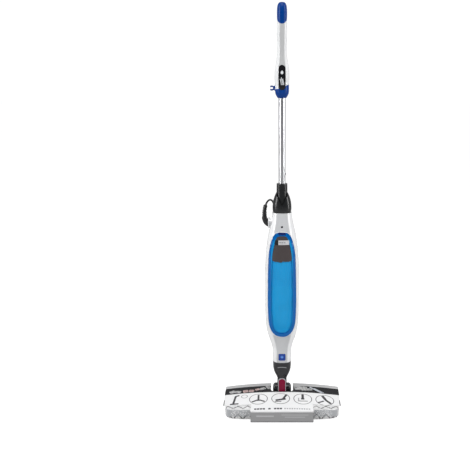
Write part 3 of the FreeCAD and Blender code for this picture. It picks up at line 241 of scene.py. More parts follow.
# The stops of one turn: down the left, round the lower fold, up the right and over the top. A "side" stop
# holds its side and its height as a share of the run, and a fold's stop holds its angle.
fold = 1 / math.cos(math.radians(22.5))
turn_stops = [("side", -1, -0.33), ("side", -1, -0.67)]
turn_stops += [("low", angle, 0) for angle in (202.5, 247.5, 292.5, 337.5)]
turn_stops += [("side", 1, -0.67), ("side", 1, -0.33)]
turn_stops += [("top", angle, 0) for angle in (22.5, 67.5, 112.5, 157.5)]
slots = []
for layer in range(HANK_DEEP):
    radii = [HANK_INNER_R + HANK_PITCH * i for i in range(HANK_LAYERS)]
    slots += [(r, HANK_FIRST_Y + layer * HANK_PITCH) for r in (radii if layer % 2 else reversed(radii))]


def hank_point(stop, radius, y):
    kind, where, height = stop
    if kind == "side":
        return (where * radius, y, HANK_TOP_Z + height * HANK_RUN)
    centre = HANK_TOP_Z if kind == "top" else HANK_TOP_Z - HANK_RUN
    turn = math.radians(where)
    return (radius * fold * math.cos(turn), y, centre + radius * fold * math.sin(turn))


turns = []
for (r0, y0), (r1, y1) in zip(slots, slots[1:]):
    for i, stop in enumerate(turn_stops):
        share = max(0.0, (i - 7) / 5)
        turns.append(hank_point(stop, r0 + (r1 - r0) * share, y0 + (y1 - y0) * share))
last_y = slots[-1][1]
tail = [
    (-18.0, last_y, 452.0),
    (-18.0, last_y, 416.0),
    (-17.8, last_y + 3.4, 397.0),
    (-16.0, 78.6, 375.0),
    (-12.0, 81.0, 353.0),
    (-12.0, 81.0, 330.0),
]
route = [place(*point) for point in lead + turns + tail]


def tube_curve(name, points, diameter):
    """A round cable along a smooth spline that has the points as its control points."""
    data = bpy.data.curves.new(name, "CURVE")
    data.dimensions = "3D"
    data.bevel_depth, data.bevel_resolution, data.resolution_u = diameter / 2, 3, 3
    data.use_fill_caps = True
    spline = data.splines.new("NURBS")
    spline.points.add(len(points) - 1)
    for point, position in zip(spline.points, points):
        point.co = (*position, 1)
    spline.order_u, spline.use_endpoint_u = 3, True
    return add_object(name, data)


def curve_length(curve_object):
    """The length of a curve's own line, measured on an unbevelled copy."""
    bare = curve_object.copy()
    bare.data = curve_object.data.copy()
    bare.data.bevel_depth = 0
    bpy.context.collection.objects.link(bare)
    graph = bpy.context.evaluated_depsgraph_get()
    mesh = bpy.data.meshes.new_from_object(bare.evaluated_get(graph))
    total = sum((mesh.vertices[e.vertices[0]].co - mesh.vertices[e.vertices[1]].co).length for e in mesh.edges)
    bpy.data.objects.remove(bare)
    return total


mains_lead = tube_curve("mains_lead", route, CORD_D)
lead_length = curve_length(mains_lead)
print("lead length", round(lead_length, 3), "m, turns", len(slots))

# %% [markdown]
# ## Shared surface effects
# Several finishes need the same small effects, so each is one node group with named sockets: the fine
# orange-peel of moulded plastic, soft blotches of handling, and the flat shapes that printed areas are
# made of. A group only puts out values and masks, and each material keeps its own shader.


# %% Node groups
def group(name, inputs, outputs):
    """A shader node group. Returns its tree, the sockets given to it and the sockets it puts out."""
    tree = bpy.data.node_groups.new(name, "ShaderNodeTree")
    for label, kind, value in inputs:
        socket = tree.interface.new_socket(label, in_out="INPUT", socket_type=kind)
        if value is not None:
            socket.default_value = value
    for label, kind in outputs:
        tree.interface.new_socket(label, in_out="OUTPUT", socket_type=kind)
    source, sink = tree.nodes.new("NodeGroupInput"), tree.nodes.new("NodeGroupOutput")
    return tree, source.outputs, sink.inputs


FLOAT, VECTOR = "NodeSocketFloat", "NodeSocketVector"

moulded, given, out = group(
    "moulded_texture",
    [("Vector", VECTOR, None), ("Grain per metre", FLOAT, 900.0), ("Grain depth", FLOAT, 0.00001)],
    [("Height", FLOAT), ("Blotches", FLOAT)],
)
fine = node(moulded, "ShaderNodeTexNoise", {"Vector": given[0], "Scale": given[1], "Detail": 2.0})
slow = node(moulded, "ShaderNodeTexNoise", {"Vector": given[0], "Scale": 26.0, "Detail": 3.0})
feed(moulded, out[0], calc(moulded, "MULTIPLY", fine.outputs[0], given[2]))
feed(moulded, out[1], step(moulded, slow.outputs[0], 0.35, 0.70))

# A rounded rectangle on the U, V plane, with soft edges: 1 inside and 0 outside.
plate, given, out = group(
    "flat_shape",
    [("U", FLOAT, 0.0), ("V", FLOAT, 0.0), ("Centre U", FLOAT, 0.0), ("Centre V", FLOAT, 0.0),
     ("Half width", FLOAT, 1.0), ("Half height", FLOAT, 1.0), ("Corner", FLOAT, 0.5), ("Turn", FLOAT, 0.0),
     ("Edge", FLOAT, 0.15)],
    [("Mask", FLOAT), ("Distance", FLOAT)],
)
du, dv = calc(plate, "SUBTRACT", given[0], given[2]), calc(plate, "SUBTRACT", given[1], given[3])
cosine, sine = calc(plate, "COSINE", given[7]), calc(plate, "SINE", given[7])
ru = calc(plate, "ADD", calc(plate, "MULTIPLY", du, cosine), calc(plate, "MULTIPLY", dv, sine))
rv = calc(plate, "SUBTRACT", calc(plate, "MULTIPLY", dv, cosine), calc(plate, "MULTIPLY", du, sine))
outside = []
for value, half in ((ru, given[4]), (rv, given[5])):
    over = calc(plate, "SUBTRACT", calc(plate, "ABSOLUTE", value), calc(plate, "SUBTRACT", half, given[6]))
    outside.append(calc(plate, "MAXIMUM", over, 0.0))
reach = calc(plate, "SQRT", calc(plate, "ADD", calc(plate, "POWER", outside[0], 2.0),
                                 calc(plate, "POWER", outside[1], 2.0)))
distance = calc(plate, "SUBTRACT", reach, given[6])
edge_low = calc(plate, "MULTIPLY", given[8], -1.0)
feed(plate, out[0], calc(plate, "SUBTRACT", 1.0, step(plate, distance, edge_low, given[8])))
feed(plate, out[1], distance)


def use(tree, shared, **values):
    """Places a shared group in a tree. Underscores in a name stand for spaces."""
    made = tree.nodes.new("ShaderNodeGroup")
    made.node_tree = shared
    for key, value in values.items():
        feed(tree, made.inputs[key.replace("_", " ")], value)
    return made


def shapes(tree, u, v, items):
    """The union of rounded rectangles (centre u, centre v, half width, half height, corner, turn)."""
    total = None
    for cu, cv, half_u, half_v, corner, turn in items:
        made = use(tree, plate, U=u, V=v, Centre_U=cu, Centre_V=cv, Half_width=half_u, Half_height=half_v,
                   Corner=corner, Turn=math.radians(turn))
        mask = made.outputs["Mask"]
        total = mask if total is None else calc(tree, "MAXIMUM", total, mask)
    return total


def ring_shape(tree, u, v, centre_u, centre_v, radius, width):
    made = use(tree, plate, U=u, V=v, Centre_U=centre_u, Centre_V=centre_v, Half_width=radius,
               Half_height=radius, Corner=radius)
    away = calc(tree, "ABSOLUTE", made.outputs["Distance"])
    return calc(tree, "SUBTRACT", 1.0, step(tree, away, width * 0.35, width * 0.65))


# %% [markdown]
# ## Plastic and metal finishes
# Most pieces are moulded plastic, and they differ in gloss, grain and colour. One builder makes them all:
# a slightly uneven base colour, roughness that wanders where hands have been, and a bump for the mould's
# grain. Numbers that are the same everywhere stay on the shader itself.

# %% Finish builder
MATERIALS = {}


def finish_material(name, colour, roughness, grain=0.00001, grain_scale=900.0, vary=0.06, **plain):
    """A moulded or cast surface. Returns its tree, its shader and the socket its colour comes from."""
    made = bpy.data.materials.new(name)
    made.use_nodes = True
    tree = made.node_tree
    shader = tree.nodes["Principled BSDF"]
    texture = use(tree, moulded, Vector=object_vector(tree), Grain_per_metre=grain_scale, Grain_depth=grain)
    darker = tuple(c * (1 - vary) for c in colour)
    tone = mix(tree, texture.outputs["Blotches"], colour, darker)
    feed(tree, shader.inputs["Base Color"], tone)
    wander = calc(tree, "MULTIPLY_ADD", texture.outputs["Blotches"], roughness * 0.25, roughness * 0.88)
    feed(tree, shader.inputs["Roughness"], wander)
    bump_up(tree, shader, texture.outputs["Height"])
    for key, value in plain.items():
        shader.inputs[key.replace("_", " ")].default_value = value
    MATERIALS[name] = made
    return tree, shader, tone


def paint(material_name, *names):
    """Gives nodes of the engineering model a material."""
    for name in names:
        for part in NODES[name].material_slots:
            part.material = MATERIALS[material_name]


def facing_front(tree, low, high):
    """1 where the surface faces the front, 0 where it faces away, and a smooth change between the limits."""
    normal = node(tree, "ShaderNodeNewGeometry").outputs["Normal"]
    parts = node(tree, "ShaderNodeSeparateXYZ", {0: normal})
    return step(tree, calc(tree, "MULTIPLY", parts.outputs[1], -1.0), low, high)


def before_pole(tree, y):
    """1 on surfaces more than about 14 mm in front of the pole's axis."""
    return step(tree, calc(tree, "MULTIPLY", y, -TO_MM), -POLE_Y * TO_MM + 12, -POLE_Y * TO_MM + 16)


def seam_at_pole(tree, y):
    """1 on the thin line where the front and rear shells meet."""
    away = calc(tree, "ABSOLUTE", calc(tree, "SUBTRACT", y, POLE_Y))
    return calc(tree, "SUBTRACT", 1.0, step(tree, away, 0.00012, 0.00042))


# %% White casing, with a painted darker reflection on its front-facing faces, and its seam
tree, shader, tone = finish_material("casing_white", (0.87, 0.875, 0.885), 0.22, grain=0.000004,
                                     Coat_Weight=0.35)
x, y, z = object_axes(tree)
# Painted reflection: faces turned to the front are greyed to stand in for the darker surroundings they reflect.
painted_front_reflection = calc(tree, "MULTIPLY", facing_front(tree, 0.86, 0.93), 0.85)
tone = mix(tree, painted_front_reflection, tone, (0.52, 0.53, 0.545))
feed(tree, shader.inputs["Base Color"], mix(tree, seam_at_pole(tree, y), tone, (0.20, 0.205, 0.21)))
paint("casing_white", "body_front_shell", "body_rear_shell", "boot_flange")

tree, shader, tone = finish_material("grip_white", (0.86, 0.87, 0.88), 0.25, grain=0.000005, Coat_Weight=0.3)
x, y, z = object_axes(tree)
# Painted reflection: the grip's front-facing faces are darkened to stand in for the darker surroundings they
# reflect.
front = calc(tree, "MULTIPLY", facing_front(tree, 0.60, 0.99), 0.9)
tone = mix(tree, front, tone, (0.44, 0.445, 0.45))
feed(tree, shader.inputs["Base Color"], mix(tree, seam_at_pole(tree, y), tone, (0.25, 0.255, 0.26)))
paint("grip_white", "handle_front_shell", "handle_rear_shell")

# %% Blues
finish_material("gloss_blue", (0.0, 0.040, 0.23), 0.30, grain=0.000003, Specular_IOR_Level=0.20)
paint("gloss_blue", "handle_grip_cap", "handle_collar", "cord_clip")
# Painted shade: the upper cord hook takes this darker blue than the clip because it sits in shadow.
finish_material("navy", (0.004, 0.018, 0.13), 0.34)
paint("navy", "tank_latch", "upper_cord_hook")
finish_material("inner_blue", (0.01, 0.07, 0.24), 0.4)
paint("inner_blue", "tank_filler_cap", "tank_valve")

tree, shader, tone = finish_material("button_blue", (0.003, 0.045, 0.30), 0.25, Coat_Weight=0.4)
x, y, z = object_axes(tree)
u, v = in_mm(tree, x), in_mm(tree, z, 165.0)
mark = shapes(tree, u, v, [(0, 1.0, 4.6, 1.2, 0.9, 0), (0, -1.6, 2.6, 1.0, 0.9, 0), (0, 4.0, 1.0, 1.8, 0.8, 0)])
mark = calc(tree, "MULTIPLY", mark, before_pole(tree, y))
feed(tree, shader.inputs["Base Color"], mix(tree, mark, tone, (0.10, 0.30, 0.85)))
paint("button_blue", "release_button")

# %% Water tank
tree, shader, tone = finish_material("tank_blue", (0.0, 0.345, 0.76), 0.10, grain=0.000003, vary=0.08,
                                     Transmission_Weight=0.12, IOR=1.46, Specular_IOR_Level=0.35)
TANK_HALF_WIDTH, TANK_HALF_HEIGHT, TANK_MIDDLE_Z = 0.041, 0.160, 0.393
x, y, z = object_axes(tree)
above = step(tree, z, TANK_MIDDLE_Z - 0.0015, TANK_MIDDLE_Z - 0.0005)
across = calc(tree, "POWER", calc(tree, "MULTIPLY", calc(tree, "ABSOLUTE", x), 1 / TANK_HALF_WIDTH), 2.6)
along = calc(tree, "ABSOLUTE", calc(tree, "ADD", z, -TANK_MIDDLE_Z))
along = calc(tree, "MULTIPLY", along, 1 / TANK_HALF_HEIGHT)
reach = calc(tree, "ADD", across, calc(tree, "POWER", along, 7.0))
# Painted highlight: the middle of the tank is lightened towards a paler blue.
painted_centre_highlight = step(tree, reach, 0.30, 0.05)
rim = step(tree, reach, 0.46, 0.62)
tone = mix(tree, calc(tree, "MULTIPLY", above, 0.25), tone, (0.0, 0.26, 0.68))
tone = mix(tree, calc(tree, "MULTIPLY", painted_centre_highlight, 0.30), tone, (0.03, 0.42, 0.80))
tone = mix(tree, calc(tree, "MULTIPLY", rim, 0.80), tone, (0.0, 0.085, 0.40))
feed(tree, shader.inputs["Base Color"], tone)
paint("tank_blue", "tank_shell")
finish_material("bay_white", (0.80, 0.82, 0.85), 0.4)
paint("bay_white", "tank_bay")
finish_material("insert_dark", (0.060, 0.048, 0.048), 0.42)
paint("insert_dark", "tank_insert")

tree, shader, tone = finish_material("plate_silver", (0.78, 0.78, 0.80), 0.32, Metallic=0.35)
x, y, z = object_axes(tree)
u, v = in_mm(tree, x), in_mm(tree, z, 524.0)
dark_end = calc(tree, "SUBTRACT", 1.0, step(tree, u, -10.9, -10.4))
bars = [(centre, 0.4, 2.8, 1.7, 0.6, 0) for centre in (-5.6, 1.0, 7.6)] + [(1.0, -3.6, 9.4, 0.5, 0.4, 0)]
tone = mix(tree, calc(tree, "MULTIPLY", shapes(tree, u, v, bars), 0.8), tone, (0.30, 0.31, 0.34))
feed(tree, shader.inputs["Base Color"], mix(tree, dark_end, tone, (0.02, 0.02, 0.022)))
paint("plate_silver", "tank_plate")

# %% Charcoal neck and collar, crimson pedal, badge and lamp
finish_material("charcoal", (0.010, 0.011, 0.012), 0.28, grain=0.00001)
paint("charcoal", "collar_stem", "collar_skirt", "ankle_yoke", "neck_socket", "neck_plug", "swivel_spigot",
      "lower_cord_hook")
tree, shader, tone = finish_material("neck_charcoal", (0.020, 0.020, 0.022), 0.30, grain=0.00001)
x, y, z = object_axes(tree)
u = in_mm(tree, x)
sag = calc(tree, "MULTIPLY", calc(tree, "POWER", calc(tree, "ABSOLUTE", u), 2.0), 0.012)
v = calc(tree, "ADD", in_mm(tree, z, 132.0), sag)
arc = calc(tree, "MULTIPLY", shapes(tree, u, v, [(0, 0, 13.5, 0.9, 0.8, 0)]), before_pole(tree, y))
feed(tree, shader.inputs["Base Color"], mix(tree, arc, tone, (0.36, 0.37, 0.38)))
paint("neck_charcoal", "neck_cup")
finish_material("crimson", (0.20, 0.001, 0.028), 0.34, Specular_IOR_Level=0.3)
paint("crimson", "release_pedal")
finish_material("pale_grey", (0.46, 0.47, 0.49), 0.42, grain=0.00002)
paint("pale_grey", "pedal_surround", "hub_frame", "hub_cover", "wing_left_frame", "wing_left_cover",
      "wing_right_frame", "wing_right_cover")
finish_material("lamp", (0.004, 0.004, 0.008), 0.2, Specular_IOR_Level=0.2)
paint("lamp", "indicator_lens")

tree, shader, tone = finish_material("badge_black", (0.008, 0.008, 0.010), 0.16, Coat_Weight=0.4)
x, y, z = object_axes(tree)
steam = [(-3.2, -12, 0.9, 9.0, 0.9, 12), (0.2, -10, 0.9, 11.0, 0.9, 12), (3.6, -12, 0.9, 9.0, 0.9, 12)]
drop = [(0, 13.0, 4.0, 4.0, 4.0, 0), (0, 16.2, 2.5, 2.5, 0.6, 45)]
mark = shapes(tree, in_mm(tree, x), in_mm(tree, z, 995.5), steam + drop)
feed(tree, shader.inputs["Base Color"], mix(tree, mark, tone, (0.72, 0.74, 0.76)))
paint("badge_black", "handle_badge")

# %% Metals, rubber and the works inside
tree, shader, tone = finish_material("satin_pole", (0.74, 0.75, 0.77), 0.30, grain=0.0, Metallic=1.0)
stretched = node(tree, "ShaderNodeMapping", {"Vector": object_vector(tree), "Scale": (1.0, 1.0, 0.02)})
brushing = node(tree, "ShaderNodeTexNoise", {"Vector": stretched.outputs[0], "Scale": 2600.0, "Detail": 3.0})
feed(tree, shader.inputs["Roughness"], calc(tree, "MULTIPLY_ADD", brushing.outputs[0], 0.03, 0.28))
bump_up(tree, shader, calc(tree, "MULTIPLY", brushing.outputs[0], 0.0000001))
paint("satin_pole", "pole_tube")
finish_material("bright_steel", (0.60, 0.60, 0.62), 0.25, Metallic=1.0)
paint("bright_steel", "body_screws", "handle_screws", "hook_pivot_screw", "flip_axle", "wing_hinge_pins",
      "snap_button", "thermostat")
finish_material("cast_alloy", (0.42, 0.42, 0.43), 0.45, grain=0.00004, grain_scale=500.0, Metallic=1.0)
paint("cast_alloy", "boiler_block", "boiler_heater")
finish_material("pump_black", (0.05, 0.05, 0.055), 0.4)
paint("pump_black", "pump_body")
finish_material("board_green", (0.01, 0.14, 0.06), 0.35)
paint("board_green", "control_board")
finish_material("silicone", (0.55, 0.55, 0.53), 0.45)
paint("silicone", "inlet_hose", "steam_hose")
finish_material("cord_black", (0.013, 0.013, 0.014), 0.42, grain=0.00003, grain_scale=1400.0)
paint("cord_black", "cord_boot", "plug_body")
finish_material("pin_brass", (0.62, 0.45, 0.20), 0.28, Metallic=1.0)
paint("pin_brass", "plug_pins")
tree, shader, tone = finish_material("tie_strap", (0.02, 0.02, 0.023), 0.85, Sheen_Weight=0.3)
weave = node(tree, "ShaderNodeTexVoronoi", {"Vector": object_vector(tree), "Scale": 900.0})
bump_up(tree, shader, calc(tree, "MULTIPLY", weave.outputs[0], 0.0004))
paint("tie_strap", "hank_tie")

# %% Join the lead to the model
mains_lead.data.materials.append(MATERIALS["cord_black"])
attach(mains_lead, "mop_body")
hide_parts("cord_lead", "cord_hank", "cord_tail")

# %% [markdown]
# ## Terry pad
# The pad is a stuffed cushion that wraps the whole head. A plain bevelled cushion is remeshed finely and
# swollen by the cloth solver under light pressure, which crowns its sides and rounds its corners. It is
# then flattened where the floor and the card press on it, and cut at the middle into two halves, one over
# each folding wing. Thousands of small scattered tufts make the looped pile.

# %% The pad's start shape and its swelling
PAD_HALF, PAD_FRONT, PAD_REAR, PAD_TOP = 175.0, -127.0, 38.0, 48.0
NOTCH_HALF, NOTCH_FRONT = 36.0, -28.0
CARD_HALF, CARD_LOW, CARD_REAR, CARD_THICK = 175.5, -47.6, 162.6, 0.0007
CARD_FLAP_HALF, CARD_CUT_BACK = 93.0, 34.0
CARD_FOLD_Y = -127.6
CARD_EDGE_Z, CARD_CROWN, CARD_REAR_LIFT = 41.0, 9.5, 3.0
CARD_SLOPE_LENGTH, CARD_SLOPE_DROP, HEAD_COVER_Z = 95.0, 13.5, 36.8


def card_height(x, v):
    """Height of the card's top panel over the crowned pad. v is the distance behind the front fold."""
    across = 1 - (x / CARD_HALF) ** 2
    height = CARD_EDGE_Z + across * (CARD_CROWN + CARD_REAR_LIFT * v / CARD_REAR)
    if v < CARD_SLOPE_LENGTH:
        height -= CARD_SLOPE_DROP * (1 - max(v, 0.0) / CARD_SLOPE_LENGTH) ** 1.5
    return max(height, HEAD_COVER_Z)


def pad_plan(inset, corner=24.0):
    """The pad's outline in millimetres, anticlockwise, with round corners and the notch for the ankle."""
    x, front, rear = PAD_HALF - inset, PAD_FRONT + inset, PAD_REAR - inset
    side, depth = NOTCH_HALF + inset, NOTCH_FRONT - inset
    points = []
    for across, cy, first in ((-1, front + corner, 180), (1, front + corner, 270), (1, rear - corner, 0),
                              (-1, rear - corner, 90)):
        if first == 90:
            points += [(side, rear), (side, depth), (-side, depth), (-side, rear)]
        for i in range(5):
            turn = math.radians(first + 22.5 * i)
            points.append((across * (x - corner) + corner * math.cos(turn), cy + corner * math.sin(turn)))
    return points


def finished(made, name):
    """A new object that holds another one's mesh with its modifiers applied. The old one is removed."""
    graph = bpy.context.evaluated_depsgraph_get()
    mesh = bpy.data.meshes.new_from_object(made.evaluated_get(graph))
    bpy.data.objects.remove(made)
    mesh.name = name
    return add_object(name, mesh)


INSET = 5.0
shape = bmesh.new()
base = shape.faces.new([shape.verts.new(place(x, y, INSET)) for x, y in pad_plan(INSET)])
raised = bmesh.ops.extrude_face_region(shape, geom=[base])
top_verts = [item for item in raised["geom"] if isinstance(item, bmesh.types.BMVert)]
bmesh.ops.translate(shape, verts=top_verts, vec=(0, 0, (PAD_TOP - 2 * INSET) * MM))
bmesh.ops.recalc_face_normals(shape, faces=shape.faces)
level = [e for e in shape.edges if abs(e.verts[0].co.z - e.verts[1].co.z) < 1e-6]
bmesh.ops.bevel(shape, geom=[e for e in level if e.verts[0].co.z < 0.02], offset=0.004, segments=2,
                profile=0.5, affect="EDGES")
bmesh.ops.bevel(shape, geom=[e for e in level if e.is_valid and e.verts[0].co.z > 0.02], offset=0.012,
                segments=3, profile=0.5, affect="EDGES")
pad_mesh = bpy.data.meshes.new("pad_start")
shape.to_mesh(pad_mesh)
shape.free()
pad = add_object("pad_start", pad_mesh)
remesh = pad.modifiers.new("remesh", "REMESH")
remesh.mode, remesh.voxel_size = "VOXEL", 0.0046
pad = finished(pad, "pad_swelling")
start = [vertex.co.copy() for vertex in pad.data.vertices]
MOST_SWELL = 0.0055
cloth = pad.modifiers.new("swell", "CLOTH")
cloth.settings.use_pressure, cloth.settings.uniform_pressure_force = True, 4.0
cloth.settings.effector_weights.gravity = 0
scene = bpy.context.scene
for number in range(1, 21):
    scene.frame_set(number)
pad = finished(pad, "pad_whole")
scene.frame_set(1)
for vertex, before in zip(pad.data.vertices, start):
    moved = vertex.co - before
    if moved.length > MOST_SWELL:
        vertex.co = before + moved * (MOST_SWELL / moved.length)
print("pad", len(pad.data.vertices), "points")


# %% Pressed faces and the two halves
FLOOR_GAP, CARD_GAP, FREE_PILE = 0.2, 0.3, 1.5
LUMP_HEIGHT, PILE_HEIGHT = 0.0009, 1.6


def under_card(x, y):
    """True where the printed card lies on the pad. Millimetres about the pole's axis."""
    return abs(x) < CARD_FLAP_HALF or y > PAD_FRONT + CARD_CUT_BACK


def press(co, spare):
    """Keeps a point of the pad inside its room: above the floor, under the card and clear of the ankle."""
    x, y, z = co.x / MM, (co.y - POLE_Y) / MM, co.z / MM
    z = max(z, FLOOR_GAP + spare)
    free = 0.0 if under_card(x, y) else FREE_PILE
    z = min(z, card_height(x, y - CARD_FOLD_Y) - CARD_GAP - spare + free)
    if abs(x) < CARD_FLAP_HALF + 2:
        y = max(y, PAD_FRONT - CARD_GAP + spare)
    if y > NOTCH_FRONT - 2:
        away = NOTCH_HALF + spare + max(0.0, PAD_TOP / 2 - z) * 0.88
        if abs(x) < away:
            x = math.copysign(away, x)
    return Vector(place(x, y, z))


def half_of(whole, side, name):
    """One half of the pad, closed at the middle, subdivided once and roughened as pile."""
    work = bmesh.new()
    work.from_mesh(whole.data)
    bmesh.ops.bisect_plane(work, geom=work.verts[:] + work.edges[:] + work.faces[:], plane_co=(0, 0, 0),
                           plane_no=(side, 0, 0), clear_inner=True)
    bmesh.ops.holes_fill(work, edges=[e for e in work.edges if e.is_boundary])
    mesh = bpy.data.meshes.new(name)
    work.to_mesh(mesh)
    work.free()
    made = add_object(name, mesh)
    made.modifiers.new("smooth", "SUBSURF").levels = 1
    made = finished(made, name)
    mesh = made.data
    normals = [vertex.normal.copy() for vertex in mesh.vertices]
    pile = mesh.attributes.new("pile", "FLOAT", "POINT")
    for vertex, normal, share in zip(mesh.vertices, normals, pile.data):
        lump = noise.noise(vertex.co * 260.0) + 0.6 * noise.noise(vertex.co * 90.0)
        middle = abs(vertex.co.x) < 0.0008
        if not middle:
            vertex.co = press(vertex.co + normal * (lump * LUMP_HEIGHT), PILE_HEIGHT)
        share.value = 0.0 if normal.z < -0.75 or middle else 1.0
    mesh.shade_smooth()
    return made


pad_left_half = half_of(pad, -1, "terry_pad_left")
pad_right_half = half_of(pad, 1, "terry_pad_right")
bpy.data.objects.remove(pad)
print("halves", len(pad_left_half.data.polygons), len(pad_right_half.data.polygons), "faces")

# %% Terry material: off-white loops with woven grey zigzags
terry = bpy.data.materials.new("terry")
terry.use_nodes = True
tree = terry.node_tree
shader = tree.nodes["Principled BSDF"]
vector = object_vector(tree)
x, y, z = object_axes(tree)
ZIGZAG_PERIOD, ZIGZAG_HEIGHT, ROW_GAP, LINE_HALF = 29.0, 14.0, 36.0, 2.2
frayed = node(tree, "ShaderNodeTexNoise", {"Vector": vector, "Scale": 420.0, "Detail": 1.0}).outputs[0]
across = in_mm(tree, x)
along = in_mm(tree, calc(tree, "ADD", y, z))
along = calc(tree, "ADD", along, calc(tree, "MULTIPLY_ADD", frayed, 5.0, -2.5))
teeth = calc(tree, "PINGPONG", across, ZIGZAG_PERIOD / 2)
teeth = calc(tree, "MULTIPLY", teeth, 2 * ZIGZAG_HEIGHT / ZIGZAG_PERIOD)
row = calc(tree, "ADD", calc(tree, "SUBTRACT", along, teeth), 74.0 - POLE_Y / MM)
row = calc(tree, "PINGPONG", row, ROW_GAP / 2)
line = calc(tree, "SUBTRACT", 1.0, step(tree, row, LINE_HALF - 0.6, LINE_HALF + 0.6))
flecks = node(tree, "ShaderNodeTexNoise", {"Vector": vector, "Scale": 900.0, "Detail": 2.0}).outputs[0]
flecks = step(tree, flecks, 0.60, 0.72)
cloth_tone = mix(tree, calc(tree, "MULTIPLY", flecks, 0.30), (0.80, 0.80, 0.80), (0.42, 0.42, 0.43))
cloth_tone = mix(tree, calc(tree, "MULTIPLY", line, 0.92), cloth_tone, (0.075, 0.075, 0.082))
feed(tree, shader.inputs["Base Color"], cloth_tone)
shader.inputs["Roughness"].default_value = 0.92
shader.inputs["Sheen Weight"].default_value = 0.25
loops = node(tree, "ShaderNodeTexVoronoi", {"Vector": vector, "Scale": 700.0}).outputs[0]
bump_up(tree, shader, calc(tree, "MULTIPLY", loops, 0.0006))


# %% Tufts scattered over the pad
def tuft_scatter():
    """A geometry node group that scatters small tufts where the pile attribute is 1."""
    tree = bpy.data.node_groups.new("terry_tufts", "GeometryNodeTree")
    tree.is_modifier = True
    tree.interface.new_socket("Geometry", in_out="INPUT", socket_type="NodeSocketGeometry")
    wanted = (("Spacing", "NodeSocketFloat"), ("Tuft size", "NodeSocketFloat"), ("Seed", "NodeSocketInt"),
              ("Material", "NodeSocketMaterial"))
    keys = {label: tree.interface.new_socket(label, in_out="INPUT", socket_type=kind).identifier
            for label, kind in wanted}
    tree.interface.new_socket("Geometry", in_out="OUTPUT", socket_type="NodeSocketGeometry")
    given, sink = tree.nodes.new("NodeGroupInput").outputs, tree.nodes.new("NodeGroupOutput").inputs
    share = node(tree, "GeometryNodeInputNamedAttribute", {"Name": "pile"}, data_type="FLOAT")
    spots = node(tree, "GeometryNodeDistributePointsOnFaces",
                 {"Mesh": given["Geometry"], "Distance Min": given["Spacing"], "Density Max": 150000.0,
                  "Density Factor": share.outputs["Attribute"], "Seed": given["Seed"]},
                 distribute_method="POISSON")
    tuft = node(tree, "GeometryNodeMeshIcoSphere", {"Radius": given["Tuft size"], "Subdivisions": 1})
    sizes = node(tree, "FunctionNodeRandomValue", {0: (0.75, 0.75, 0.8), 1: (1.2, 1.2, 1.5)},
                 data_type="FLOAT_VECTOR")
    feed(tree, sizes.inputs["Seed"], given["Seed"])
    placed = node(tree, "GeometryNodeInstanceOnPoints",
                  {"Points": spots.outputs["Points"], "Instance": tuft.outputs["Mesh"],
                   "Rotation": spots.outputs["Rotation"], "Scale": sizes.outputs[0]})
    real = node(tree, "GeometryNodeRealizeInstances", {"Geometry": placed.outputs["Instances"]})
    coloured = node(tree, "GeometryNodeSetMaterial",
                    {"Geometry": real.outputs["Geometry"], "Material": given["Material"]})
    feed(tree, sink["Geometry"], coloured.outputs["Geometry"])
    return tree, keys


tufts, tuft_keys = tuft_scatter()
for half, wing, side, covers in ((pad_left_half, "wing_l", -1, ["pad_left"]),
                                 (pad_right_half, "wing_r", 1, ["pad_right", "pad_centre"])):
    half.data.materials.clear()
    half.data.materials.append(terry)
    pile = add_object(half.name + "_pile", half.data.copy())
    scatter = pile.modifiers.new("tufts", "NODES")
    scatter.node_group = tufts
    for label, value in (("Spacing", 0.0031), ("Tuft size", 0.0018), ("Seed", 5 + side), ("Material", terry)):
        scatter[tuft_keys[label]] = value
    pile = finished(pile, half.name + "_pile")
    for vertex in pile.data.vertices:
        vertex.co = press(vertex.co, 0.0)
        vertex.co.x = side * max(side * vertex.co.x, 0.0002)
    pile.data.shade_smooth()
    for piece in (half, pile):
        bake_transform(piece)
    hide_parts(*covers)
    print(pile.name, len(pile.data.polygons), "faces")

# %% [markdown]
# ## Printed card sleeve
# New mops come with a card sleeve round the pad. It is one thin sheet: a top panel with a notch for the
# ankle and two cut corners, and a flap that folds down the front. Its rear edge bows up a little, as card
# does. Its print is built from bands, rings and rounded bars on the sheet's own flat coordinates.

# %% The card's sheet
FOLD_R = 1.2
NOTCH_START, CARD_NOTCH_HALF, CARD_NOTCH_R = 101.1, 34.0, 14.0
FOLD_HALF = FOLD_R * math.pi / 4


def card_point(x, v):
    """Folds the flat card: v is the distance behind the front fold, and is negative on the flap."""
    fold_z = card_height(x, 0.0)
    if v < -FOLD_HALF:
        share = (v + FOLD_HALF) / (CARD_LOW + FOLD_HALF)
        y, z = CARD_FOLD_Y, (fold_z - FOLD_R) * (1 - share) + 0.8 * share
    elif v > FOLD_HALF:
        y, z = CARD_FOLD_Y + FOLD_R + v - FOLD_HALF, card_height(x, v)
    else:
        turn = (v + FOLD_HALF) / FOLD_R
        y, z = CARD_FOLD_Y + FOLD_R * (1 - math.cos(turn)), fold_z - FOLD_R * (1 - math.sin(turn))
    return place(x, y, z)


def card_corner(cx, cv, first):
    turns = [math.radians(first - 15 * i) for i in range(7)]
    return [(cx + CARD_NOTCH_R * math.cos(t), cv + CARD_NOTCH_R * math.sin(t)) for t in turns]


